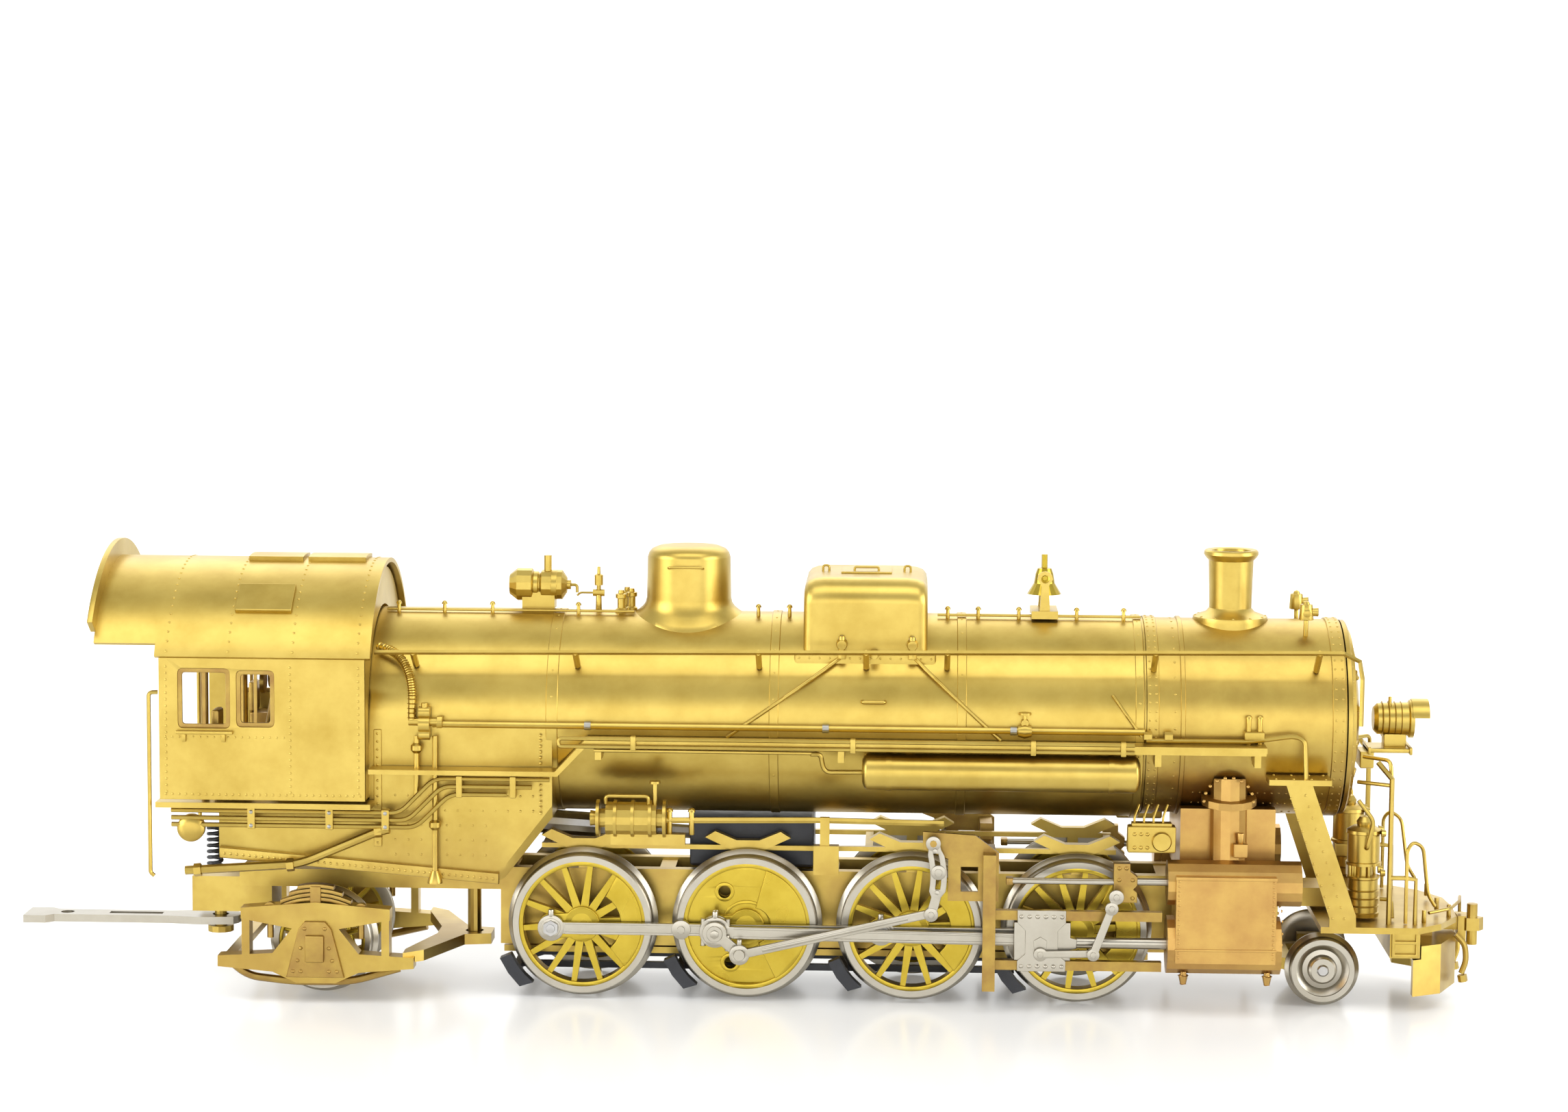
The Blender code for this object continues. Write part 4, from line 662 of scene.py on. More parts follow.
def combination_lever(side):
    """Tapered combination lever with three pins."""
    tag = side_name(side)
    node = "combination_lever_" + tag
    top, foot = LEVER_TOP, LEVER_FOOT[side]
    lever = Piece("lever_" + tag, NICKEL, node, node)
    lever.plate([rod_outline(((*top, 0.95), (*foot, 0.8)), 0.5)], side * 15.6, side * 16.0, 0.09)
    second = between(top, foot, 0.2)
    lever.plate([ring(*second, 0.85, 24)], side * 15.55, side * 16.05, 0.09)
    for spot in (top, second, foot):
        lever.rod((spot[0], side * 15.5, spot[1]), (spot[0], side * 16.25, spot[1]), 0.4, None, 14)
    lever.make()


for number in range(4):
    driver(number)
small_wheels("pilot", "pilot_wheelset", "pilot_wheels", 73.5, 4.75, 4.75, 4.2, 9.0, False)
small_wheels("trailing", "trailing_wheelset", "trailing_wheels", -54.5, 7.0, 7.0, 6.4, 13.4, True)
for hand in SIDES:
    for maker in (side_rod, main_rod, return_crank, eccentric_rod, gear_link, crosshead, valve_stem,
            combination_lever):
        maker(hand)


# ---------------------------------------------------------------- boiler
boiler = Piece("boiler_jacket", BRASS, "body", "boiler_barrel")
boiler.lathe([(-24.0, 0), (-24.0, BOILER_R), (50.0, BOILER_R), (50.0, 0)], (0, 0, BOILER_Z), (1, 0, 0), 160,
    0.06)
for low_x, high_x in ((-25.4, -23.9), (2.8, 4.0), (26.5, 27.7), (48.9, 50.0)):
    boiler.lathe([(low_x, 12.2), (low_x, 13.02), (low_x + 0.08, 13.1), (high_x - 0.08, 13.1),
        (high_x, 13.02), (high_x, 12.2)], (0, 0, BOILER_Z), (1, 0, 0), 160)
boiler.make()

bands = Piece("boiler_rivets", BRASS, "body", "boiler_barrel")
for ring_x in (-24.65, 3.4, 27.1, 49.45):
    bands.rivets(*around(ring_x, BOILER_Z, 13.08, range(-30, 211, 15)), 0.17, 0.5)
bands.make()

firebox = Piece("firebox_wrapper", BRASS, "body", "firebox")


def firebox_slice(x):
    """The edge of the firebox section at x: an arch above, sides running in to the mud ring below."""
    if x > -31.2:
        bottom = 15.3 + (x + 31.2) * 8.0 / 6.2
    else:
        bottom = 18.3 - (x + 70.0) * 3.0 / 38.8
    inset = 0.0 if x <= -31.2 else 0.35 * (x + 31.2) / 6.2
    spots = [(12.95 * math.cos(math.radians(a)), BOILER_Z + 13.05 * math.sin(math.radians(a)))
        for a in range(0, 181, 5)]
    right = [(-12.95, BOILER_Z - 1.5), (-12.9 + inset, bottom + 1.6), (-12.1 + inset, bottom)]
    left = [(12.1 - inset, bottom), (12.9 - inset, bottom + 1.6), (12.95, BOILER_Z - 1.5)]
    return spots + right + left


firebox.plate([(-66.9, 18.35), (-31.3, 15.4), (-31.3, 16.8), (-66.9, 19.7)], 12.5, 13.6, 0.14)
firebox.box((-47.2, 12.7, 20.0), (-46.2, 13.25, 35.0), 0.1)
firebox.rivets(row((-66.2, 13.6, 18.95), (-32.0, 13.6, 16.1), 44), (0, 1, 0), 0.19, 0.6)
for x in (-46.7, -26.0):
    firebox.rivets(row((x, 13.22, 24.5 if x > -30 else 20.5), (x, 13.22, 34.5), 15), (0, 1, 0), 0.19, 0.6)
for k in range(5):
    firebox.rivets(row((-44.5, 12.92, 19.0 + 1.9 * k), (-33.0 + (0 if k < 3 else 6), 12.92, 19.0 + 1.9 * k),
        8 if k < 3 else 12), (0, 1, 0), 0.15, 0.45)
firebox.mirror()
slices = []
for at in (-67.0, -61.9, -50.0, -40.0, -31.8, -30.6, -29.2, -27.6, -26.2, -25.2, -24.6):
    roof_z = 24.9 if at < -61.0 else BOILER_Z + BOILER_R + 1.0
    slices.append([(at, y, min(z, roof_z)) for y, z in firebox_slice(at)])
firebox.loft(slices)
firebox.make()

smoke = Piece("smokebox_jacket", SMOKEBOX_STAINED_AND_SHADED, "body", "smokebox")
smoke.lathe([(50.06, 0), (50.06, SMOKEBOX_R), (75.4, SMOKEBOX_R), (75.4, 0)], (0, 0, SMOKEBOX_Z), (1, 0, 0),
    160, 0.06)
for low_x, high_x in ((50.3, 51.9), (54.6, 55.2), (73.6, 75.3)):
    smoke.lathe([(low_x, 11.8), (low_x, 12.68), (low_x + 0.07, 12.76), (high_x - 0.07, 12.76),
        (high_x, 12.68), (high_x, 11.8)], (0, 0, SMOKEBOX_Z), (1, 0, 0), 160)
for ring_x, turn in ((50.7, 5), (51.5, 5), (74.0, 6), (74.9, 6), (53.9, 10)):
    smoke.rivets(*around(ring_x, SMOKEBOX_Z, 12.74 if ring_x != 53.9 else 12.53, range(-60, 241, turn)),
        0.17, 0.55)
for height in (24.5, 26.0, 27.6):
    for side in SIDES:
        drop = math.asin((SMOKEBOX_Z - height) / SMOKEBOX_R)
        y = SMOKEBOX_R * math.cos(drop)
        smoke.rivets(row((56.5, side * y, height), (72.8, side * y, height), 19),
            (0, side * math.cos(drop), -math.sin(drop)), 0.17, 0.55)
smoke.make()

front = Piece("smokebox_door", SMOKEBOX_STAINED_AND_SHADED, "body", "smokebox_front")
front.lathe([(75.6, 0), (75.6, 12.5), (76.1, 12.5), (76.25, 12.35), (76.35, 11.4), (76.75, 11.3),
    (76.85, 8.5), (77.0, 8.2), (77.6, 6.6), (77.9, 4.4), (78.0, 2.2), (78.05, 0)], (0, 0, SMOKEBOX_Z),
    (1, 0, 0), 120)
front.rivets([(76.3, *spot) for spot in ring(0, SMOKEBOX_Z, 11.9, 36)], (1, 0, 0), 0.2, 0.6)
for a in range(15, 360, 30):
    front.rod((76.85, *spin(0, SMOKEBOX_Z, 9.4, a)), (77.25, *spin(0, SMOKEBOX_Z, 8.2, a)), 0.35, 0.3, 12)
front.make()

dome = Piece("steam_dome_cover", BRASS, "body", "steam_dome")
DOME_X, DOME_Z = -8.1, 48.95
STRAIGHT_ABOVE = 2.0


def dome_point(height, radius, angle):
    """A point of the dome's skin, drawn down onto the round boiler towards its foot."""
    x, y = spin(DOME_X, 0, radius, angle)
    sag = BOILER_R - math.sqrt(BOILER_R ** 2 - y ** 2)
    return x, y, DOME_Z + height - sag * max(STRAIGHT_ABOVE - height, 0.0) / STRAIGHT_ABOVE


loops = [[(DOME_X, 0, DOME_Z + 8.62)]]
for height, radius in ((8.62, 2.6), (8.5, 3.9), (8.15, 4.75), (7.7, 5.15), (7.1, 5.35), (1.9, 5.45),
        (1.2, 5.6), (0.7, 5.95), (0.25, 6.5), (0.0, 6.9)):
    loops.append([dome_point(height, radius, 360 * k / 96) for k in range(96)])
loops.append([(x, y, z - 0.6) for x, y, z in loops[-1]])
dome.loft(loops)
dome.tube([(-10.4, -5.0, 55.0), (-10.4, -5.9, 55.2), (-6.0, -5.9, 55.2), (-6.0, -5.0, 55.0)], 0.16, 0.4)
dome.make()


def block_section(half, top, edge):
    """The sand dome's section: straight sides, rounded shoulders and a slightly wider foot."""
    points = [(half + 0.1, 44.2), (half + 0.1, 44.45), (half, 45.1)]
    points += ring(half - edge, top - edge, edge, 10, 0, 90)
    return [(-y, z) for y, z in points] + [(y, z) for y, z in reversed(points)]


sand = Piece("sand_dome_cover", BRASS, "body", "sand_dome")
sand.rivets(row((6.5, 10.42, 44.4), (23.2, 10.42, 44.4), 14), (0, 1, 0), 0.15, 0.5)
sand.mirror()
loops = []
for at, half, high, edge in ((7.0, 8.9, 52.6, 1.8), (7.15, 9.5, 53.4, 2.4), (7.6, 9.9, 53.95, 2.8),
        (8.4, 10.15, 54.25, 3.0), (9.6, 10.25, 54.4, 3.1), (20.1, 10.25, 54.4, 3.1),
        (21.3, 10.15, 54.25, 3.0), (22.1, 9.9, 53.95, 2.8), (22.55, 9.5, 53.4, 2.4), (22.7, 8.9, 52.6, 1.8)):
    loops.append([(at, y, z) for y, z in block_section(half, high, edge)])
sand.loft(loops)
sand.box((5.9, -10.4, 43.2), (23.8, 10.4, 45.1), 0.35)
for x in (9.6, 20.1):
    sand.tube([(x - 0.4, 0, 54.3), (x - 0.4, 0, 55.1), (x + 0.4, 0, 55.1), (x + 0.4, 0, 54.3)], 0.15, 0.35)
sand.box((11.6, -3.2, 54.35), (18.1, 3.2, 54.65), 0.12)
sand.tube([(13.3, -1.8, 54.6), (13.3, -1.8, 55.1), (16.4, -1.8, 55.1), (16.4, -1.8, 54.6)], 0.15, 0.3)
sand.make()

stack = Piece("smoke_stack", BRASS, "body", "smokestack")
STACK_X = 61.6
STACK_PROFILE = ((47.0, 2.2), (57.2, 2.35), (57.55, 2.5), (57.68, 2.9), (57.68, 3.25), (57.5, 3.45),
    (57.1, 3.5), (56.7, 3.25), (56.3, 2.87), (52.0, 2.75), (50.2, 2.72), (49.7, 3.15), (49.35, 4.1),
    (49.1, 4.75), (48.6, 4.85), (47.0, 4.85))
stack.loft([[(*spot, height) for spot in ring(STACK_X, 0, radius, 72)] for height, radius in STACK_PROFILE],
    False)
stack.make()

# ---------------------------------------------------------------- cab
cab = Piece("cab_sides", BRASS, "body", "cab_shell")
glazing = Piece("cab_windows", STAINED, "body", "cab_shell")


def opening(low_x, high_x, low_z, high_z, radius=0.7):
    """A window outline with rounded corners."""
    corners = [(low_x, low_z, 0), (high_x, low_z, 0), (high_x, high_z, 0), (low_x, high_z, 0)]
    return [(p[0], p[1]) for p in rounded(corners, radius, 4, True)]


WINDOWS = ((-71.4, -64.8, 35.4, 43.0), (-64.0, -59.2, 35.6, 42.8))
wall = [(-73.8, 26.3), (-47.8, 26.3), (-47.8, 45.1), (-73.8, 45.1)]
cab.plate([wall] + [opening(*w) for w in WINDOWS], 15.95, 16.5, 0.06)
for x in (-72.9, -57.2, -48.6):
    cab.rivets(row((x, 16.5, 27.3), (x, 16.5, 43.2), 20), (0, 1, 0), 0.17, 0.55)
cab.rivets(row((-73.0, 16.5, 27.0), (-48.4, 16.5, 27.0), 30), (0, 1, 0), 0.17, 0.55)
cab.rivets(row((-73.0, 16.5, 34.3), (-58.0, 16.5, 34.3), 18), (0, 1, 0), 0.15, 0.5)
for low_x, high_x, low_z, high_z in WINDOWS:
    glazing.plate([opening(low_x, high_x, low_z, high_z), opening(low_x + 0.55, high_x - 0.55, low_z + 0.55,
        high_z - 0.55, 0.4)], 16.05, 16.4, 0.06)
    middle = (low_x + high_x) / 2
    glazing.box((middle - 0.22, 16.1, low_z + 0.3), (middle + 0.22, 16.35, high_z - 0.3), 0.06)
cab.box((-71.6, 16.4, 34.7), (-64.4, 17.2, 35.15), 0.12)
for x in (-70.6, -65.6):
    cab.box((x - 0.25, 16.4, 33.7), (x + 0.25, 16.95, 34.8), 0.1)
cab.mirror()
glazing.mirror()
front_wall = [(-16.4, 26.3), (16.4, 26.3), (16.4, 43.8), *ring(0, ROOF_Z, 18.1, 24, 25, 155), (-16.4, 43.8)]
cab.across([front_wall, ring(0, BOILER_Z, 13.4, 64)], -48.4, -47.8, 0.06)
cab.make()
glazing.make()

roof = Piece("cab_roof_sheet", BRASS, "body", "cab_roof")
tilt = Matrix.Translation((-61.0, *spin(0, ROOF_Z, 19.25, 52))) @ Matrix.Rotation(-math.radians(38), 4, "X")
roof.box((-3.6, -2.4, -0.3), (3.6, 2.4, 0.35), 0.15, tilt)
roof.mirror()


def arch_plate(piece, inner, outer, start, end, low_x, high_x, bevel=0.06):
    """A curved sheet about the roof's axis."""
    section = ring(0, ROOF_Z, outer, 56, start, end) + ring(0, ROOF_Z, inner, 56, end, start)
    piece.across([section], low_x, high_x, bevel)


arch_plate(roof, 18.6, ROOF_R, 25.8, 154.2, -74.2, -47.0)
arch_plate(roof, 18.6, ROOF_R, 31.0, 149.0, -82.0, -74.1)
arch_plate(roof, 18.9, 21.4, 36.0, 144.0, -82.6, -81.9)
for x0, x1 in ((-64.8, -57.7), (-57.1, -49.6)):
    arch_plate(roof, 19.1, 19.75, 82.0, 98.0, x0, x1, 0.12)
for x in (-72.7, -64.9, -56.8, -48.6):
    roof.rivets(*around(x, ROOF_Z, ROOF_R, range(28, 153, 4)), 0.18, 0.5)
roof.make()


# ---------------------------------------------------------------- piping along the boiler
def on_boiler(z, gap):
    """Depth of a point that stands off the boiler's side by the gap at height z."""
    return math.sqrt(max((BOILER_R + gap) ** 2 - (z - BOILER_Z) ** 2, 0.0))


pipes = Piece("boiler_pipes", BRASS)
clips = Piece("pipe_clips", SOLDER)
fittings = Piece("pipe_fittings", BRASS)
pipes.tube([(-39.6, 13.9, 35.9), (50.0, 13.7, 35.9)], 0.42)
for x in (-20.0, 10.0, 33.6):
    clips.lathe([(-0.45, 0), (-0.4, 0.55), (0.4, 0.55), (0.45, 0)], (x, 13.8, 35.9), (1, 0, 0), 20)
pipes.tube([(48.6, 16.85, 34.75), (-23.4, 16.85, 34.75), (-23.4, 16.85, 33.75), (48.6, 16.85, 33.75)], 0.27,
    0.5)
for x in (-14.0, 13.5, 36.0, 47.2):
    fittings.box((x - 0.35, 16.4, 33.3), (x + 0.35, 17.2, 35.15), 0.12)
pipes.tube([(8.2, 16.0, 33.0), (9.4, 15.6, 33.0), (9.9, 15.2, 30.6), (14.8, 14.8, 30.6)], 0.3, 0.9)
pipes.tube([(-19.0, 15.8, 33.1), (8.4, 16.0, 33.1)], 0.22)
for x0, z0, x1 in ((11.9, 44.6, -2.5), (21.0, 44.6, 32.0)):
    path = []
    for i in range(9):
        t = i / 8
        z = z0 + (34.6 - z0) * t
        path.append((x0 + (x1 - x0) * t, on_boiler(z, 0.5), z))
    pipes.tube(path, 0.24, 0.3)
for x in (11.9, 20.8):
    fittings.rod((x, 10.5, 46.2), (x, 11.4, 46.2), 0.75, 0.6, 20)
    fittings.rod((x, 10.9, 45.2), (x, 10.9, 47.3), 0.45, 0.35, 16)
    fittings.rod((x, 10.9, 44.4), (x, 10.9, 45.2), 0.6, 0.6, 6)
    clips.rivets([(x, 10.6, 46.9)], (0, 1, 0), 0.45, 0.7, 12)
fittings.rod((16.0, 11.0, 45.0), (16.0, 12.0, 45.0), 0.62, 0.5, 20)
fittings.tube([(14.6, 13.0, 39.3), (14.6, 13.7, 39.3), (17.4, 13.7, 39.3), (17.4, 13.0, 39.3)], 0.24, 0.5)
# globe valve and bracket under the front of the boiler
fittings.rod((35.0, 12.9, 36.9), (35.0, 14.2, 36.9), 0.5, None, 16)
fittings.lathe([(-0.9, 0), (-0.85, 0.7), (0, 0.95), (0.85, 0.7), (0.9, 0)], (35.0, 13.8, 35.9), (1, 0, 0), 24)
fittings.rod((35.0, 13.9, 36.4), (35.0, 13.9, 38.2), 0.22, None, 12)
fittings.lathe([(0, 0), (0, 0.8), (0.25, 0.8), (0.25, 0)], (35.0, 13.9, 38.0), (0, 0, 1), 20)
# valve cluster in front of the cab and its hose
for z, r in ((35.9, 1.05), (37.4, 0.75), (34.6, 0.7)):
    fittings.lathe([(-0.75, 0), (-0.7, r), (0.7, r), (0.75, 0)], (-40.6, 14.0, z), (1, 0, 0), 28)
fittings.rod((-42.6, 14.0, 36.2), (-38.8, 14.0, 36.2), 0.5, None, 18)
fittings.rod((-40.6, 14.0, 34.0), (-40.6, 14.0, 38.6), 0.42, None, 18)
fittings.rod((-39.0, 14.0, 36.2), (-38.3, 14.0, 36.2), 0.85, 0.85, 6)
hose = [(-46.9, 10.6, 45.3), (-44.6, 11.9, 44.8), (-42.9, 12.9, 43.0), (-42.2, 13.7, 40.6),
    (-42.2, 14.0, 36.4)]
pipes.tube(hose, 0.48, 3.0)
path = rounded(hose, 3.0, 8)
for i, (here, there) in enumerate(zip(path, path[1:])):
    span = (Vector(there) - Vector(here)).length
    for k in range(max(1, int(span / 0.5))):
        spot = Vector(here).lerp(Vector(there), (k + 0.5) / max(1, int(span / 0.5)))
        way = (Vector(there) - Vector(here)).normalized()
        pipes.lathe([(-0.13, 0.4), (0, 0.62), (0.13, 0.4)], spot, way, 16)
for x, top, foot in ((-41.6, 34.4, 27.0), (-39.3, 34.4, 17.2)):
    pipes.tube([(x, 14.0, top), (x, 14.2, foot)], 0.34)
    fittings.lathe([(0, 0.4), (0.4, 0.75), (1.0, 0.75), (1.3, 0.4)], (x, 14.1, foot + 5.2), (0, 0, 1), 20)
fittings.lathe([(0, 0), (0, 0.95), (0.25, 0.95), (1.6, 0.4), (1.6, 0)], (-39.3, 14.2, 15.6), (0, 0, 1), 24)
# conduits under the cab, stepping up along the firebox
for k, (low_z, high_z, x_low, x_high, end) in enumerate(((24.75, 29.0, -43.6, -39.4, -24.8),
        (23.8, 28.0, -42.6, -38.4, -27.0), (22.9, 27.0, -41.6, -37.4, -30.2))):
    y = 15.35 - 0.1 * k
    pipes.tube([(-72.6, y, low_z), (x_low, y, low_z), (x_high, 14.2, high_z), (end, 14.1, high_z)], 0.3, 1.2)
for x in (-62.4, -52.5, -45.4):
    fittings.box((x - 0.5, 14.6, 22.5), (x + 0.5, 15.75, 25.15), 0.14)
    clips.rivets([(x, 15.75, z) for z in (22.95, 24.7)], (0, 1, 0), 0.28, 0.6)
for x in (-36.2, -29.4):
    fittings.box((x - 0.4, 13.2, 26.6), (x + 0.4, 14.55, 29.4), 0.14)
pipes.tube([(-71.0, 14.7, 16.9), (-56.5, 14.7, 17.9), (-46.6, 14.9, 22.2), (-45.0, 15.0, 22.6)], 0.58, 2.2)
for x, z in ((-69.4, 17.0), (-57.6, 17.8), (-46.4, 22.3)):
    fittings.lathe([(-0.5, 0.3), (-0.45, 0.85), (0.45, 0.85), (0.5, 0.3)], (x, 14.75, z), (1, 0, 0.1), 6)
fittings.lathe([(-0.9, 0), (-0.9, 1.5), (-0.7, 1.75), (0.2, 1.75), (0.5, 1.5), (0.75, 0.8), (0.8, 0)],
    (-70.2, 14.9, 22.4), (0, 1, 0), 40)
# rear hand rail
fittings.tube([(-74.1, 15.6, 39.8), (-75.2, 15.9, 39.8), (-75.2, 15.9, 16.8), (-74.7, 15.9, 16.4)], 0.27, 0.7)
# smokebox fittings, stay and pipe to the step
pipes.tube([(50.2, 13.9, 34.9), (63.0, 13.9, 34.9), (68.6, 13.9, 35.7), (70.0, 14.3, 35.3),
    (70.2, 14.6, 30.2)], 0.3, 0.9)
for x in (50.4, 53.0):
    fittings.lathe([(-0.55, 0.2), (-0.5, 0.62), (0.5, 0.62), (0.55, 0.2)], (x, 13.8, 35.4), (1, 0, 0), 6)
for x in (63.0, 64.4):
    fittings.rod((x, 13.6, 34.5), (x, 13.6, 37.9), 0.3, None, 14)
    fittings.rivets([(x, 13.6, 37.9)], (0, 0, 1), 0.42, 0.9, 12)
fittings.box((62.4, 12.6, 35.0), (65.0, 14.2, 36.2), 0.25)
pipes.tube([(46.0, 12.4, 40.4), (47.6, 13.3, 38.2), (49.6, 13.7, 35.4)], 0.2, 0.5)
# lubricator by the cylinder
fittings.box((48.1, 11.4, 20.5), (54.2, 13.4, 23.9), 0.25)
fittings.box((48.6, 11.6, 23.8), (53.7, 13.2, 24.3), 0.15)
fittings.lathe([(0, 0), (0, 1.15), (0.3, 1.25), (0.5, 1.1), (0.5, 0)], (52.4, 13.4, 22.0), (0, 1, 0), 28)
fittings.rivets([(49.0 + 0.8 * i, 13.4, z) for i in range(3) for z in (21.2, 22.9)], (0, 1, 0), 0.26, 0.7)
for i in range(4):
    pipes.tube([(49.0 + 1.2 * i, 12.4, 24.2), (49.0 + 1.2 * i, 12.4, 25.0), (49.6 + 1.2 * i, 11.6, 26.4)],
        0.15, 0.4)
pipes.mirror()
clips.mirror()
fittings.mirror()
for piece in (pipes, clips, fittings):
    piece.make()

# ---------------------------------------------------------------- on top of the boiler
top = Piece("boiler_top_fittings", BRASS)
top.rod((70.7, 5.6, 47.2), (70.7, 5.9, 49.4), 0.3, None, 12)
top.rod((70.7, 5.9, 49.4), (70.7, 5.9, 51.4), 0.95, 0.8, 24, 0.12)
top.lathe([(0, 0), (0, 0.5), (0.4, 0.35), (0.6, 0)], (70.7, 5.9, 51.3), (0, 0, 1), 18)
top.lathe([(0, 0.4), (0.5, 0.55), (0.6, 0.4)], (70.7, 6.6, 50.4), (0, 1, 0), 18)
top.rod((71.4, 5.9, 50.4), (72.2, 5.9, 50.4), 0.5, 0.55, 18)
top.mirror()
for x in (-45.4, -39.5, -33.3, -22.2, 1.0, 5.0, 25.3, 29.2, 34.4, 41.8, 47.8):
    top.rod((x, -2.4, 48.3), (x, -2.4, 49.9), 0.26, 0.22, 12)
    top.rivets([(x, -2.4, 49.85)], (0, 0, 1), 0.38, 1.1, 12)
for start, end in ((-46.9, -15.0), (24.0, 50.0)):
    top.tube([(start, -2.4, 49.1), (end, -2.4, 49.1)], 0.17)
top.rod((-19.8, 0, 48.6), (-19.8, 0, 51.0), 0.42, 0.36, 16)
top.lathe([(-0.8, 0), (-0.75, 0.45), (0.75, 0.45), (0.8, 0)], (-19.8, 0, 51.2), (1, 0, 0), 18)
top.rod((-19.8, 0, 51.2), (-19.8, 0, 54.6), 0.3, 0.2, 14)
top.lathe([(0, 0), (0, 0.55), (1.3, 0.55), (1.45, 0.3), (1.45, 0)], (-19.8, 0, 52.2), (0, 0, 1), 20)
top.tube([(-20.5, 0, 51.2), (-22.2, 0, 51.2), (-22.6, 0, 50.8)], 0.14, 0.3)
for x, y in ((-16.8, -1.1), (-15.6, 0.9), (-16.3, 2.4)):
    top.lathe([(0, 0), (0, 0.75), (0.5, 0.75), (0.7, 0.5), (1.9, 0.5), (2.0, 0.72), (2.5, 0.72), (2.6, 0.4),
        (3.0, 0.35), (3.0, 0)], (x, y, 48.7), (0, 0, 1), 24)
# generator: turbine and dynamo lobes with fins, governor and exhaust
for at, r, wide in ((-30.1, 1.75, 0.5), (-29.0, 2.0, 0.4), (-27.9, 1.7, 0.4), (-25.5, 1.9, 0.5),
        (-24.4, 1.2, 0.4)):
    top.lathe([(-wide, 0), (-wide, r - 0.15), (-wide + 0.15, r), (wide - 0.15, r), (wide, r - 0.15),
        (wide, 0)], (at, 0, 52.2), (1, 0, 0), 36)
top.rod((-30.9, 0, 52.2), (-23.4, 0, 52.2), 0.6, None, 20)
top.rivets([(-30.6, *spot) for spot in ring(0, 52.2, 1.2, 8)], (-1, 0, 0), 0.22, 0.8)
top.tube([(-23.5, 0, 52.2), (-22.6, 0, 52.2), (-22.6, 0, 51.2)], 0.2, 0.4)
# stack bolts
top.rivets([(*spot, 49.15) for spot in ring(STACK_X, 0, 4.45, 12)], (0, 0, 1), 0.22, 0.7)
top.make()

# ---------------------------------------------------------------- headlight
lamp = Piece("headlight_case", BRASS, "body", "headlight")
lamp.lathe([(80.2, 0), (80.2, 1.5), (80.7, 2.0), (84.6, 2.15), (84.8, 2.45), (85.3, 2.45), (85.3, 2.1),
    (85.0, 2.0), (85.0, 0)], LAMP_CENTRE, (1, 0, 0), 56)
for x in (81.3, 82.1, 82.9, 83.7):
    lamp.lathe([(x - 0.16, 1.9), (x, 2.3), (x + 0.16, 1.9)], LAMP_CENTRE, (1, 0, 0), 48)
lamp.across([ring(0, 36.0, 2.62, 24, 10, 170) + ring(0, 36.0, 2.42, 24, 170, 10)], 85.0, 87.2)
lamp.box((79.3, -2.6, 31.9), (85.0, 2.6, 32.5), 0.15)
lamp.box((81.5, -1.2, 32.4), (84.4, 1.2, 34.2), 0.2)
for x in (79.3, 84.6):
    lamp.box((x, -2.9, 31.7), (x + 0.4, 2.9, 32.7), 0.12)
lamp.box((78.4, -2.2, 29.8), (80.2, 2.2, 32.0), 0.2)
lamp.rod((82.2, -1.0, 37.6), (82.2, -1.0, 39.0), 0.22, None, 12)
lamp.make()
glass = Piece("headlight_glass", GLASS)
glass.lathe([(85.05, 0), (85.05, 1.85), (85.15, 1.95), (85.25, 1.6), (85.4, 0)], LAMP_CENTRE, (1, 0, 0), 48)
glass.make()

# ---------------------------------------------------------------- cylinders and steam pipes
works = Piece("cylinder_fittings", CAST)
for x in (54.45, 66.25):
    works.rivets(row((x, 16.9, 7.9), (x, 16.9, 17.6), 17), (0, 1, 0), 0.17, 0.6)
works.box((54.0, 16.85, 8.75), (66.7, 17.05, 9.05), 0.05)
works.box((54.0, 16.85, 17.75), (66.7, 17.05, 18.2), 0.08)
for x in (55.3, 65.8):
    works.rod((x, 14.6, 7.4), (x, 14.6, 5.2), 0.42, None, 16)
    works.rod((x, 14.6, 5.2), (x, 14.6, 4.1), 0.62, 0.35, 16)
    works.rod((x, 14.0, 5.6), (x, 15.4, 5.6), 0.24, None, 12)
works.lathe([(0, 0), (0, 1.1), (0.4, 1.25), (0.7, 1.1), (0.7, 0)], (59.7, 14.0, 6.5), (0, 0, 1), 28)
works.rivets([(x, (12.2 + 0.158 * (z - 27.0)), z) for x, z in ring(60.8, 27.0, 3.1, 9, 0, 180)], (0, 1, 0.1),
    0.22, 0.6)
works.rivets([(67.45, *spot) for spot in ring(CYLINDER_Y, 11.0, 3.0, 12)], (1, 0, 0), 0.22, 0.7)
works.box((61.4, 12.9, 20.1), (63.2, 13.9, 21.9), 0.2)
works.rod((62.3, 13.2, 21.8), (62.3, 13.2, 23.2), 0.35, 0.5, 16)
works.mirror()
works.make()

# ---------------------------------------------------------------- pilot end
nose = Piece("pilot_fittings", BRASS)
nose.tube([(78.2, 7.4, 32.2), (81.2, 10.4, 32.2), (81.3, 11.2, 29.9)], 0.26, 0.8)
nose.tube([(77.4, 8.4, 29.1), (81.2, 10.9, 29.1)], 0.26)
nose.tube([(83.4, 11.6, 11.6), (83.4, 11.6, 21.0), (84.2, 11.2, 22.0), (85.6, 10.2, 21.2), (86.4, 9.6, 15.0),
    (87.4, 9.0, 13.4)], 0.24, 0.9)
for z in (17.6, 22.7):
    for shift in (-1.3, 1.3):
        nose.rod((80.4, 8.0 + shift, z), (81.0, 8.0 + shift, z), 0.55, 0.4, 14)
nose.lathe([(0, 0), (0, 0.9), (0.5, 1.0), (1.1, 0.6), (1.3, 0)], (78.4, 8.0, 23.5), (0, 0, 1), 24)
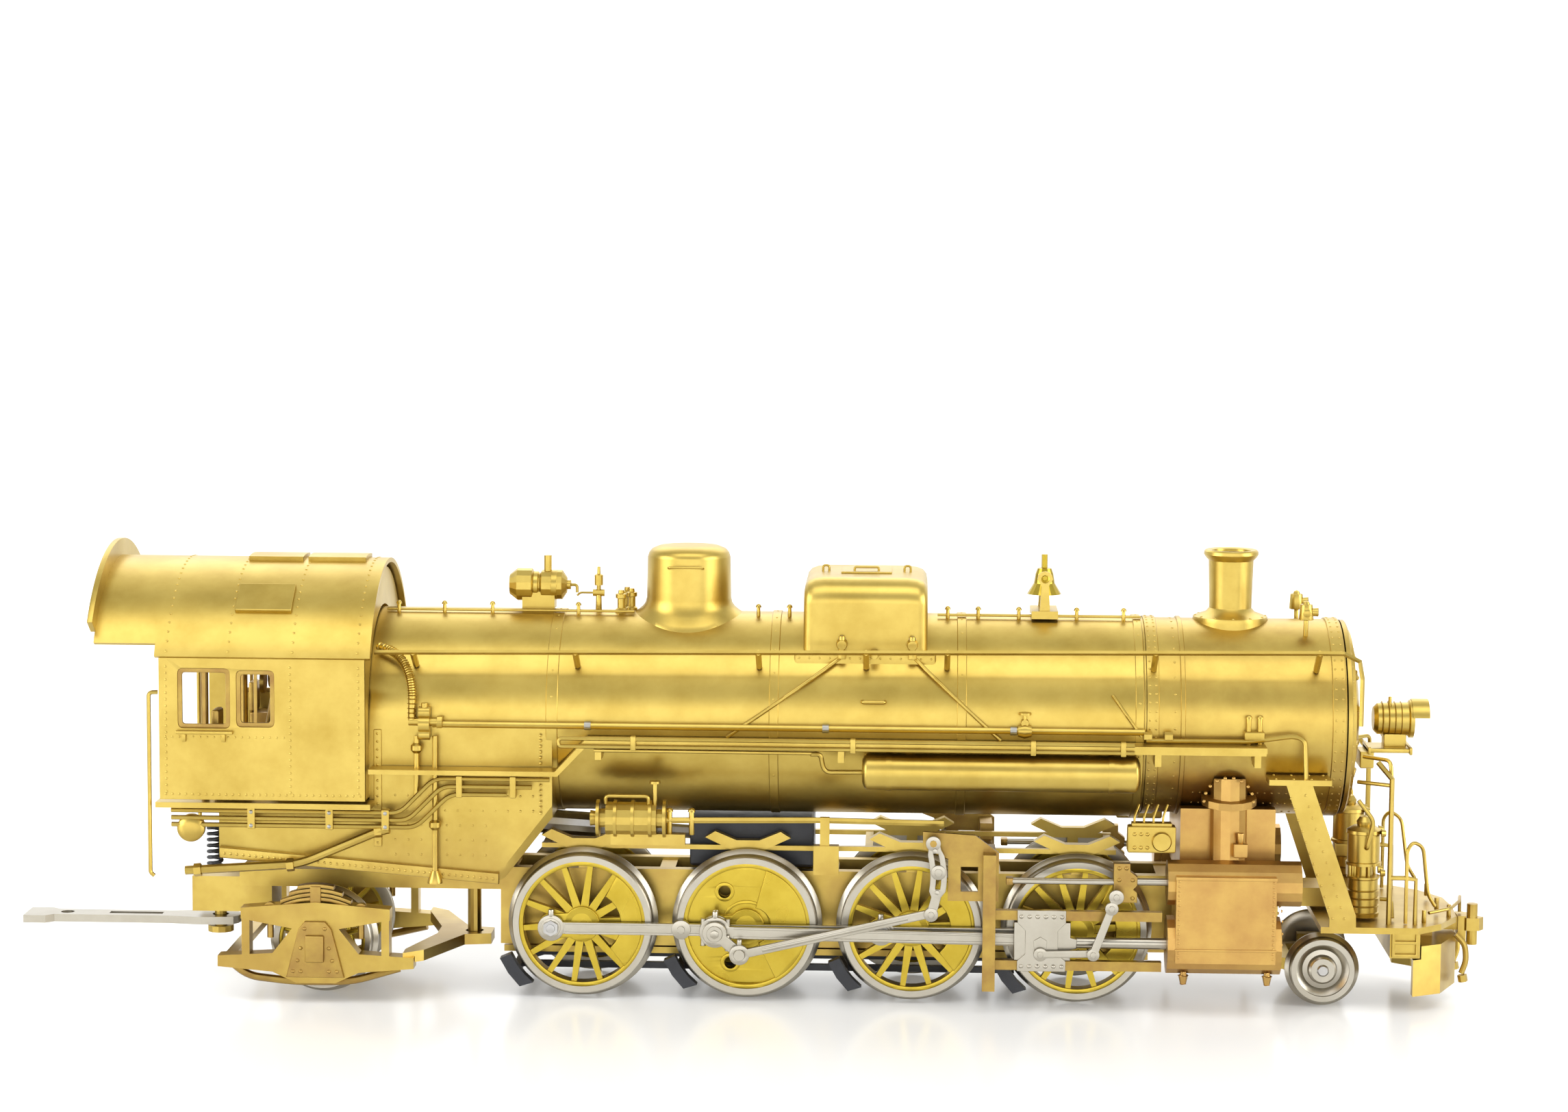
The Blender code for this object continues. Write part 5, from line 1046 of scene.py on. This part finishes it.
nose.rivets([(*spot, 22.55) for spot in ring(78.4, 8.0, 1.75, 8)], (0, 0, 1), 0.22, 0.8)
nose.tube([(78.4, 10.0, 21.0), (78.4, 11.2, 21.0), (79.2, 11.4, 24.6), (77.2, 11.2, 27.2)], 0.28, 0.8)
nose.tube([(80.6, 8.0, 14.0), (82.0, 8.4, 14.0), (82.0, 9.6, 11.9)], 0.26, 0.6)
nose.rivets(row((70.2, 14.02, 28.2), (75.4, 14.02, 12.6), 12), (0, 1, 0), 0.16, 0.6)
nose.rivets(row((68.4, 14.02, 27.8), (73.9, 14.02, 12.6), 12), (0, 1, 0), 0.16, 0.6)
nose.rivets([(x, y, 30.42) for x in (66.4, 68.6, 70.8, 72.6) for y in (11.8, 14.9)], (0, 0, 1), 0.18, 0.6)
nose.plate([[(81.8, 7.2), (85.2, 7.2), (85.2, 10.8), (81.8, 10.8)], [(82.2, 7.6), (84.8, 7.6), (84.8, 8.85),
    (82.2, 8.85)], [(82.2, 9.25), (84.8, 9.25), (84.8, 10.45), (82.2, 10.45)]], 10.9, 11.5, 0.08)
nose.rod((88.3, 4.6, 12.0), (88.3, 4.6, 13.6), 0.3, None, 14)
nose.tube([(91.0, 3.4, 8.6), (92.2, 3.6, 7.4), (92.4, 3.7, 5.2), (91.8, 3.7, 3.6)], 0.4, 1.1)
nose.lathe([(0, 0), (0, 0.62), (0.9, 0.62), (0.9, 0)], (91.9, 3.7, 3.4), (0.2, 0, -1), 6)
nose.mirror()
nose.tube([(86.6, -9.6, 12.6), (89.6, -7.6, 12.8), (91.4, -3.2, 12.9), (92.0, 0.4, 12.9), (92.0, 0.4, 10.8)],
    0.22, 0.7)
for x, y in ((85.9, -10.3), (89.6, -6.4)):
    nose.rod((x, y, 11.4), (x, y, 13.1), 0.3, 0.26, 12)
nose.make()

# ---------------------------------------------------------------- trailing truck and rear
truck = Piece("trailing_truck_fittings", STAINED, "trailing_truck")
for k in range(4):
    half = 5.6 - 1.1 * k
    leaf = [(-54.5 + half * t, 12.9 + 0.55 * k - 0.05 * (half * t) ** 2 + 0.25)
        for t in [i / 6 for i in range(-6, 7)]]
    truck.plate([leaf + [(x, z + 0.45) for x, z in reversed(leaf)]], 13.0, 14.4, 0.06)
truck.box((-55.2, 12.8, 12.6), (-53.8, 14.6, 15.0), 0.15)
for x in (-60.4, -48.8):
    truck.rod((x, 13.7, 8.2), (x, 13.7, 12.4), 0.42, None, 14)
    truck.lathe([(-0.5, 0), (-0.45, 0.8), (0.45, 0.8), (0.5, 0)], (x, 13.7, 12.0), (0, 1, 0), 20)
truck.plate([[(-58.2, 3.4), (-50.8, 3.4), (-52.4, 9.6), (-53.2, 10.6), (-55.8, 10.6), (-56.6, 9.6)]], 14.7,
    15.3, 0.14)
truck.box((-55.7, 15.1, 5.4), (-53.3, 15.8, 8.9), 0.3)
truck.rivets([(x, 15.3, z) for x, z in ((-57.3, 4.2), (-56.3, 4.2), (-52.7, 4.2), (-51.7, 4.2), (-56.7, 5.6),
    (-52.3, 5.6), (-56.3, 7.2), (-52.7, 7.2), (-55.8, 9.7), (-53.2, 9.7))], (0, 1, 0), 0.26, 0.8)
truck.tube([(-66.0, 13.6, 5.4), (-63.4, 13.6, 3.2), (-57.2, 13.9, 2.6), (-50.0, 13.9, 2.7),
    (-44.0, 12.9, 4.3)], 0.5, 2.0)
truck.mirror()
truck.make()

rear = Piece("rear_springs", BLACK)
for side in SIDES:
    coil = []
    for i in range(97):
        a = 2 * math.pi * i / 14
        coil.append((-67.8 + 0.85 * math.cos(a), side * 11.6 + 0.85 * math.sin(a), 16.9 + 5.2 * i / 96))
    rear.tube(coil, 0.24, 0.01, 2)
rear.make()

reverse = Piece("power_reverse_fittings", BRASS)
for x in (-18.6, -16.4, -14.2, -12.0, -10.2):
    reverse.lathe([(-0.25, 1.4), (-0.2, 2.35), (0.2, 2.35), (0.25, 1.4)], (x, -14.0, 24.2), (1, 0, 0), 36)
reverse.lathe([(0, 0), (0, 1.0), (0.7, 0.9), (0.9, 0)], (-19.6, -14.0, 24.2), (1, 0, 0), 24)
for x in (-9.6, -6.8):
    reverse.rod((x, -14.0, 22.2), (x, -14.0, 25.2), 0.35, None, 14)
    reverse.rivets([(x, -14.0, 25.2)], (0, 0, 1), 0.5, 0.9, 12)
reverse.tube([(-17.6, -14.8, 26.2), (-17.6, -15.0, 27.2), (-12.2, -15.0, 27.2), (-12.2, -14.8, 26.2)], 0.26,
    0.6)
reverse.rod((-11.4, -14.6, 26.0), (-11.4, -14.6, 29.0), 0.3, 0.3, 12)
reverse.lathe([(0, 0), (0, 0.7), (0.3, 0.7), (0.3, 0)], (-11.4, -14.6, 28.8), (0, 0, 1), 18)
reverse.make()

# ---------------------------------------------------------------- inside the cab windows
inside = Piece("cab_interior", STAINED)
inside.rod((-68.6, 13.4, 26.0), (-68.6, 13.4, 43.4), 0.5, None, 16)
inside.rod((-61.4, 10.6, 33.0), (-60.0, 10.6, 41.4), 0.35, 0.28, 14)
inside.box((-67.4, 10.8, 26.2), (-62.8, 14.6, 33.4), 0.3)
inside.box((-67.6, 11.2, 33.4), (-66.6, 14.4, 37.4), 0.3)
inside.mirror()
for y in (-6.0, 0.0, 6.0):
    inside.lathe([(0, 0), (0, 1.5), (0.5, 1.6), (0.5, 0)], (-62.2, y, 40.0), (-1, 0, 0), 28)
inside.make()

# ---------------------------------------------------------------- air tanks and pumps
tanks = Piece("air_tank_shells", BRASS, "body", "air_tanks")
tanks.lathe([(-17.45, 0), (-17.4, 1.4), (-17.1, 2.1), (-16.7, 2.36), (16.7, 2.36), (17.1, 2.1), (17.4, 1.4),
    (17.45, 0)], TANK_CENTRE, (1, 0, 0), 72)
for x in (18.0, 45.8):
    tanks.lathe([(-0.35, 2.3), (-0.35, 2.45), (0.35, 2.45), (0.35, 2.3)], (x, *TANK_CENTRE[1:]), (1, 0, 0),
        72)
for x in (20.5, 43.5):
    tanks.box((x - 0.5, 12.6, 32.6), (x + 0.5, 14.4, 33.7), 0.1)
tanks.mirror()
tanks.rod((17.5, -12.6, 30.2), (17.5, 12.6, 30.2), 0.4, None, 18)
tanks.make()

pumps = Piece("air_pump_castings", BRASS, "body", "air_pumps")
pumps.lathe([(0, 0), (0, 2.0), (0.5, 2.1), (0.6, 1.9), (4.8, 1.9), (4.95, 2.1), (5.2, 2.1), (5.25, 1.2),
    (6.6, 1.2), (6.65, 2.25), (7.0, 2.25), (7.1, 2.05), (10.6, 2.05), (10.7, 2.25), (11.1, 2.2), (11.6, 1.4),
    (11.7, 0)], (PUMP_X, PUMP_Y, PUMP_Z), (0, 0, 1), 56)
for z in (1.4, 2.4, 3.4):
    pumps.lathe([(z - 0.14, 1.85), (z, 2.12), (z + 0.14, 1.85)], (PUMP_X, PUMP_Y, PUMP_Z), (0, 0, 1), 56)
pumps.box((76.4, 6.0, 16.7), (78.4, 8.6, 18.5), 0.25)
pumps.mirror()
for side in SIDES:
    for spot in ring(PUMP_X, side * PUMP_Y, 1.5, 4, 20, 380):
        pumps.rod((*spot, 16.9), (*spot, 18.7), 0.26, None, 10)
pumps.make()


# ---------------------------------------------------------------- CAD nodes shown as they are
CARRIED = {"main_frame": BRASS, "keeper_plate": BRASS, "cab_floor": BRASS, "pilot_truck_frame": BRASS,
    "gearbox": BLACK, "motor_case": BLACK, "axle_gear": BRIGHT, "worm_shaft": STEEL,
    "boiler_weight": BALLAST, "spring_rigging": BRASS, "cylinder_saddle": CAST, "power_reverse": BRASS,
    "generator": BRASS, "bell_bracket": BRASS, "running_board_R": BRASS, "running_board_L": BRASS,
    "handrail_R": BRASS, "handrail_L": BRASS, "pilot_deck": BRASS, "pilot": BRASS, "front_coupler": BRASS,
    "guide_yoke": STAINED, "brake_rigging": BLACK, "trailing_truck_frame": BRASS, "drawbar": NICKEL,
    "bell": BRIGHT}
for name, material in CARRIED.items():
    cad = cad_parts[name]
    for slot in cad.material_slots:
        slot.material = material
    for polygon in cad.data.polygons:
        polygon.use_smooth = True
    cad.data.set_sharp_from_angle(angle=math.radians(32))
    edges = cad.modifiers.new("edges", "BEVEL")
    edges.width = 0.1 * MM
    edges.segments = 2
    edges.limit_method = "ANGLE"
    edges.angle_limit = math.radians(32)
    edges.harden_normals = True


# ---------------------------------------------------------------- stage, light and camera
def flat_stage(name, size, place, colour, glow, turned=0.0):
    """A large pale sheet with soft edges in its tone."""
    bpy.ops.mesh.primitive_plane_add(size=size, location=place, rotation=(math.radians(turned), 0, 0))
    sheet = bpy.context.active_object
    sheet.name = name
    made, shader, node, link = new_material(name)
    where = node("ShaderNodeTexCoord").outputs["Object"]
    tone = node("ShaderNodeTexNoise", Scale=3.0, Detail=2.0)
    link(where, tone.inputs["Vector"])
    ramp = node("ShaderNodeValToRGB")
    ramp.color_ramp.elements[0].color = (*[c * 0.985 for c in colour], 1.0)
    ramp.color_ramp.elements[1].color = (*colour, 1.0)
    link(tone.outputs["Fac"], ramp.inputs["Fac"])
    link(ramp.outputs["Color"], shader.inputs["Base Color"])
    link(ramp.outputs["Color"], shader.inputs["Emission Color"])
    shader.inputs["Emission Strength"].default_value = glow
    shader.inputs["Roughness"].default_value = 0.22
    sheet.data.materials.append(made)
    return sheet


flat_stage("floor", 12.0, (0, 0, -0.0001), (0.80, 0.80, 0.79), 0.16)
flat_stage("backdrop", 12.0, (0, 3.0, 5.9), (0.93, 0.93, 0.925), 0.75, 90.0)


def area_light(name, place, target, size, watts, colour=(1, 1, 1)):
    """A rectangular soft light aimed at a point."""
    data = bpy.data.lights.new(name, "AREA")
    data.shape = "RECTANGLE"
    data.size, data.size_y = size
    data.energy = watts
    data.color = colour
    made = bpy.data.objects.new(name, data)
    bpy.context.scene.collection.objects.link(made)
    made.location = place
    made.rotation_euler = (Vector(target) - Vector(place)).to_track_quat("-Z", "Y").to_euler()
    return made


area_light("key", (0.02, -0.34, 0.72), (0, 0, 0.03), (1.0, 0.42), 3.0)
area_light("fill_left", (-0.7, -0.35, 0.25), (0, 0, 0.03), (0.5, 0.4), 3.6)
area_light("fill_right", (0.75, -0.3, 0.25), (0, 0, 0.03), (0.5, 0.4), 3.6)
area_light("back", (0.0, 0.6, 0.5), (0, 0, 0.03), (0.9, 0.4), 1.5)
area_light("front", (0.0, -0.95, 0.16), (0, 0, 0.03), (1.5, 0.22), 2.8)
world = bpy.data.worlds.new("studio")
bpy.context.scene.world = world
world.use_nodes = True
world.node_tree.nodes["Background"].inputs["Color"].default_value = (0.93, 0.94, 0.95, 1.0)
world.node_tree.nodes["Background"].inputs["Strength"].default_value = 0.72

camera_data = bpy.data.cameras.new("camera")
camera_data.lens = 82.38
camera_data.sensor_width = 36.0
camera = bpy.data.objects.new("camera", camera_data)
bpy.context.scene.collection.objects.link(camera)
turn, tilt_down, roll = math.radians(2.0), math.radians(6.0), math.radians(0.4)
forward = Vector((-math.sin(turn) * math.cos(tilt_down), math.cos(turn) * math.cos(tilt_down),
    -math.sin(tilt_down)))
level = forward.cross(Vector((0, 0, 1))).normalized()
upward = level.cross(forward)
right = level * math.cos(roll) + upward * math.sin(roll)
up = upward * math.cos(roll) - level * math.sin(roll)
camera.matrix_world = Matrix.Translation(Vector((20.2, -460.0, 104.6)) * MM) @ Matrix((right, up,
    -forward)).transposed().to_4x4()
bpy.context.scene.camera = camera
bpy.context.scene.view_settings.view_transform = "Standard"
bpy.context.scene.view_settings.look = "None"
bpy.context.scene.view_settings.exposure = 0.0
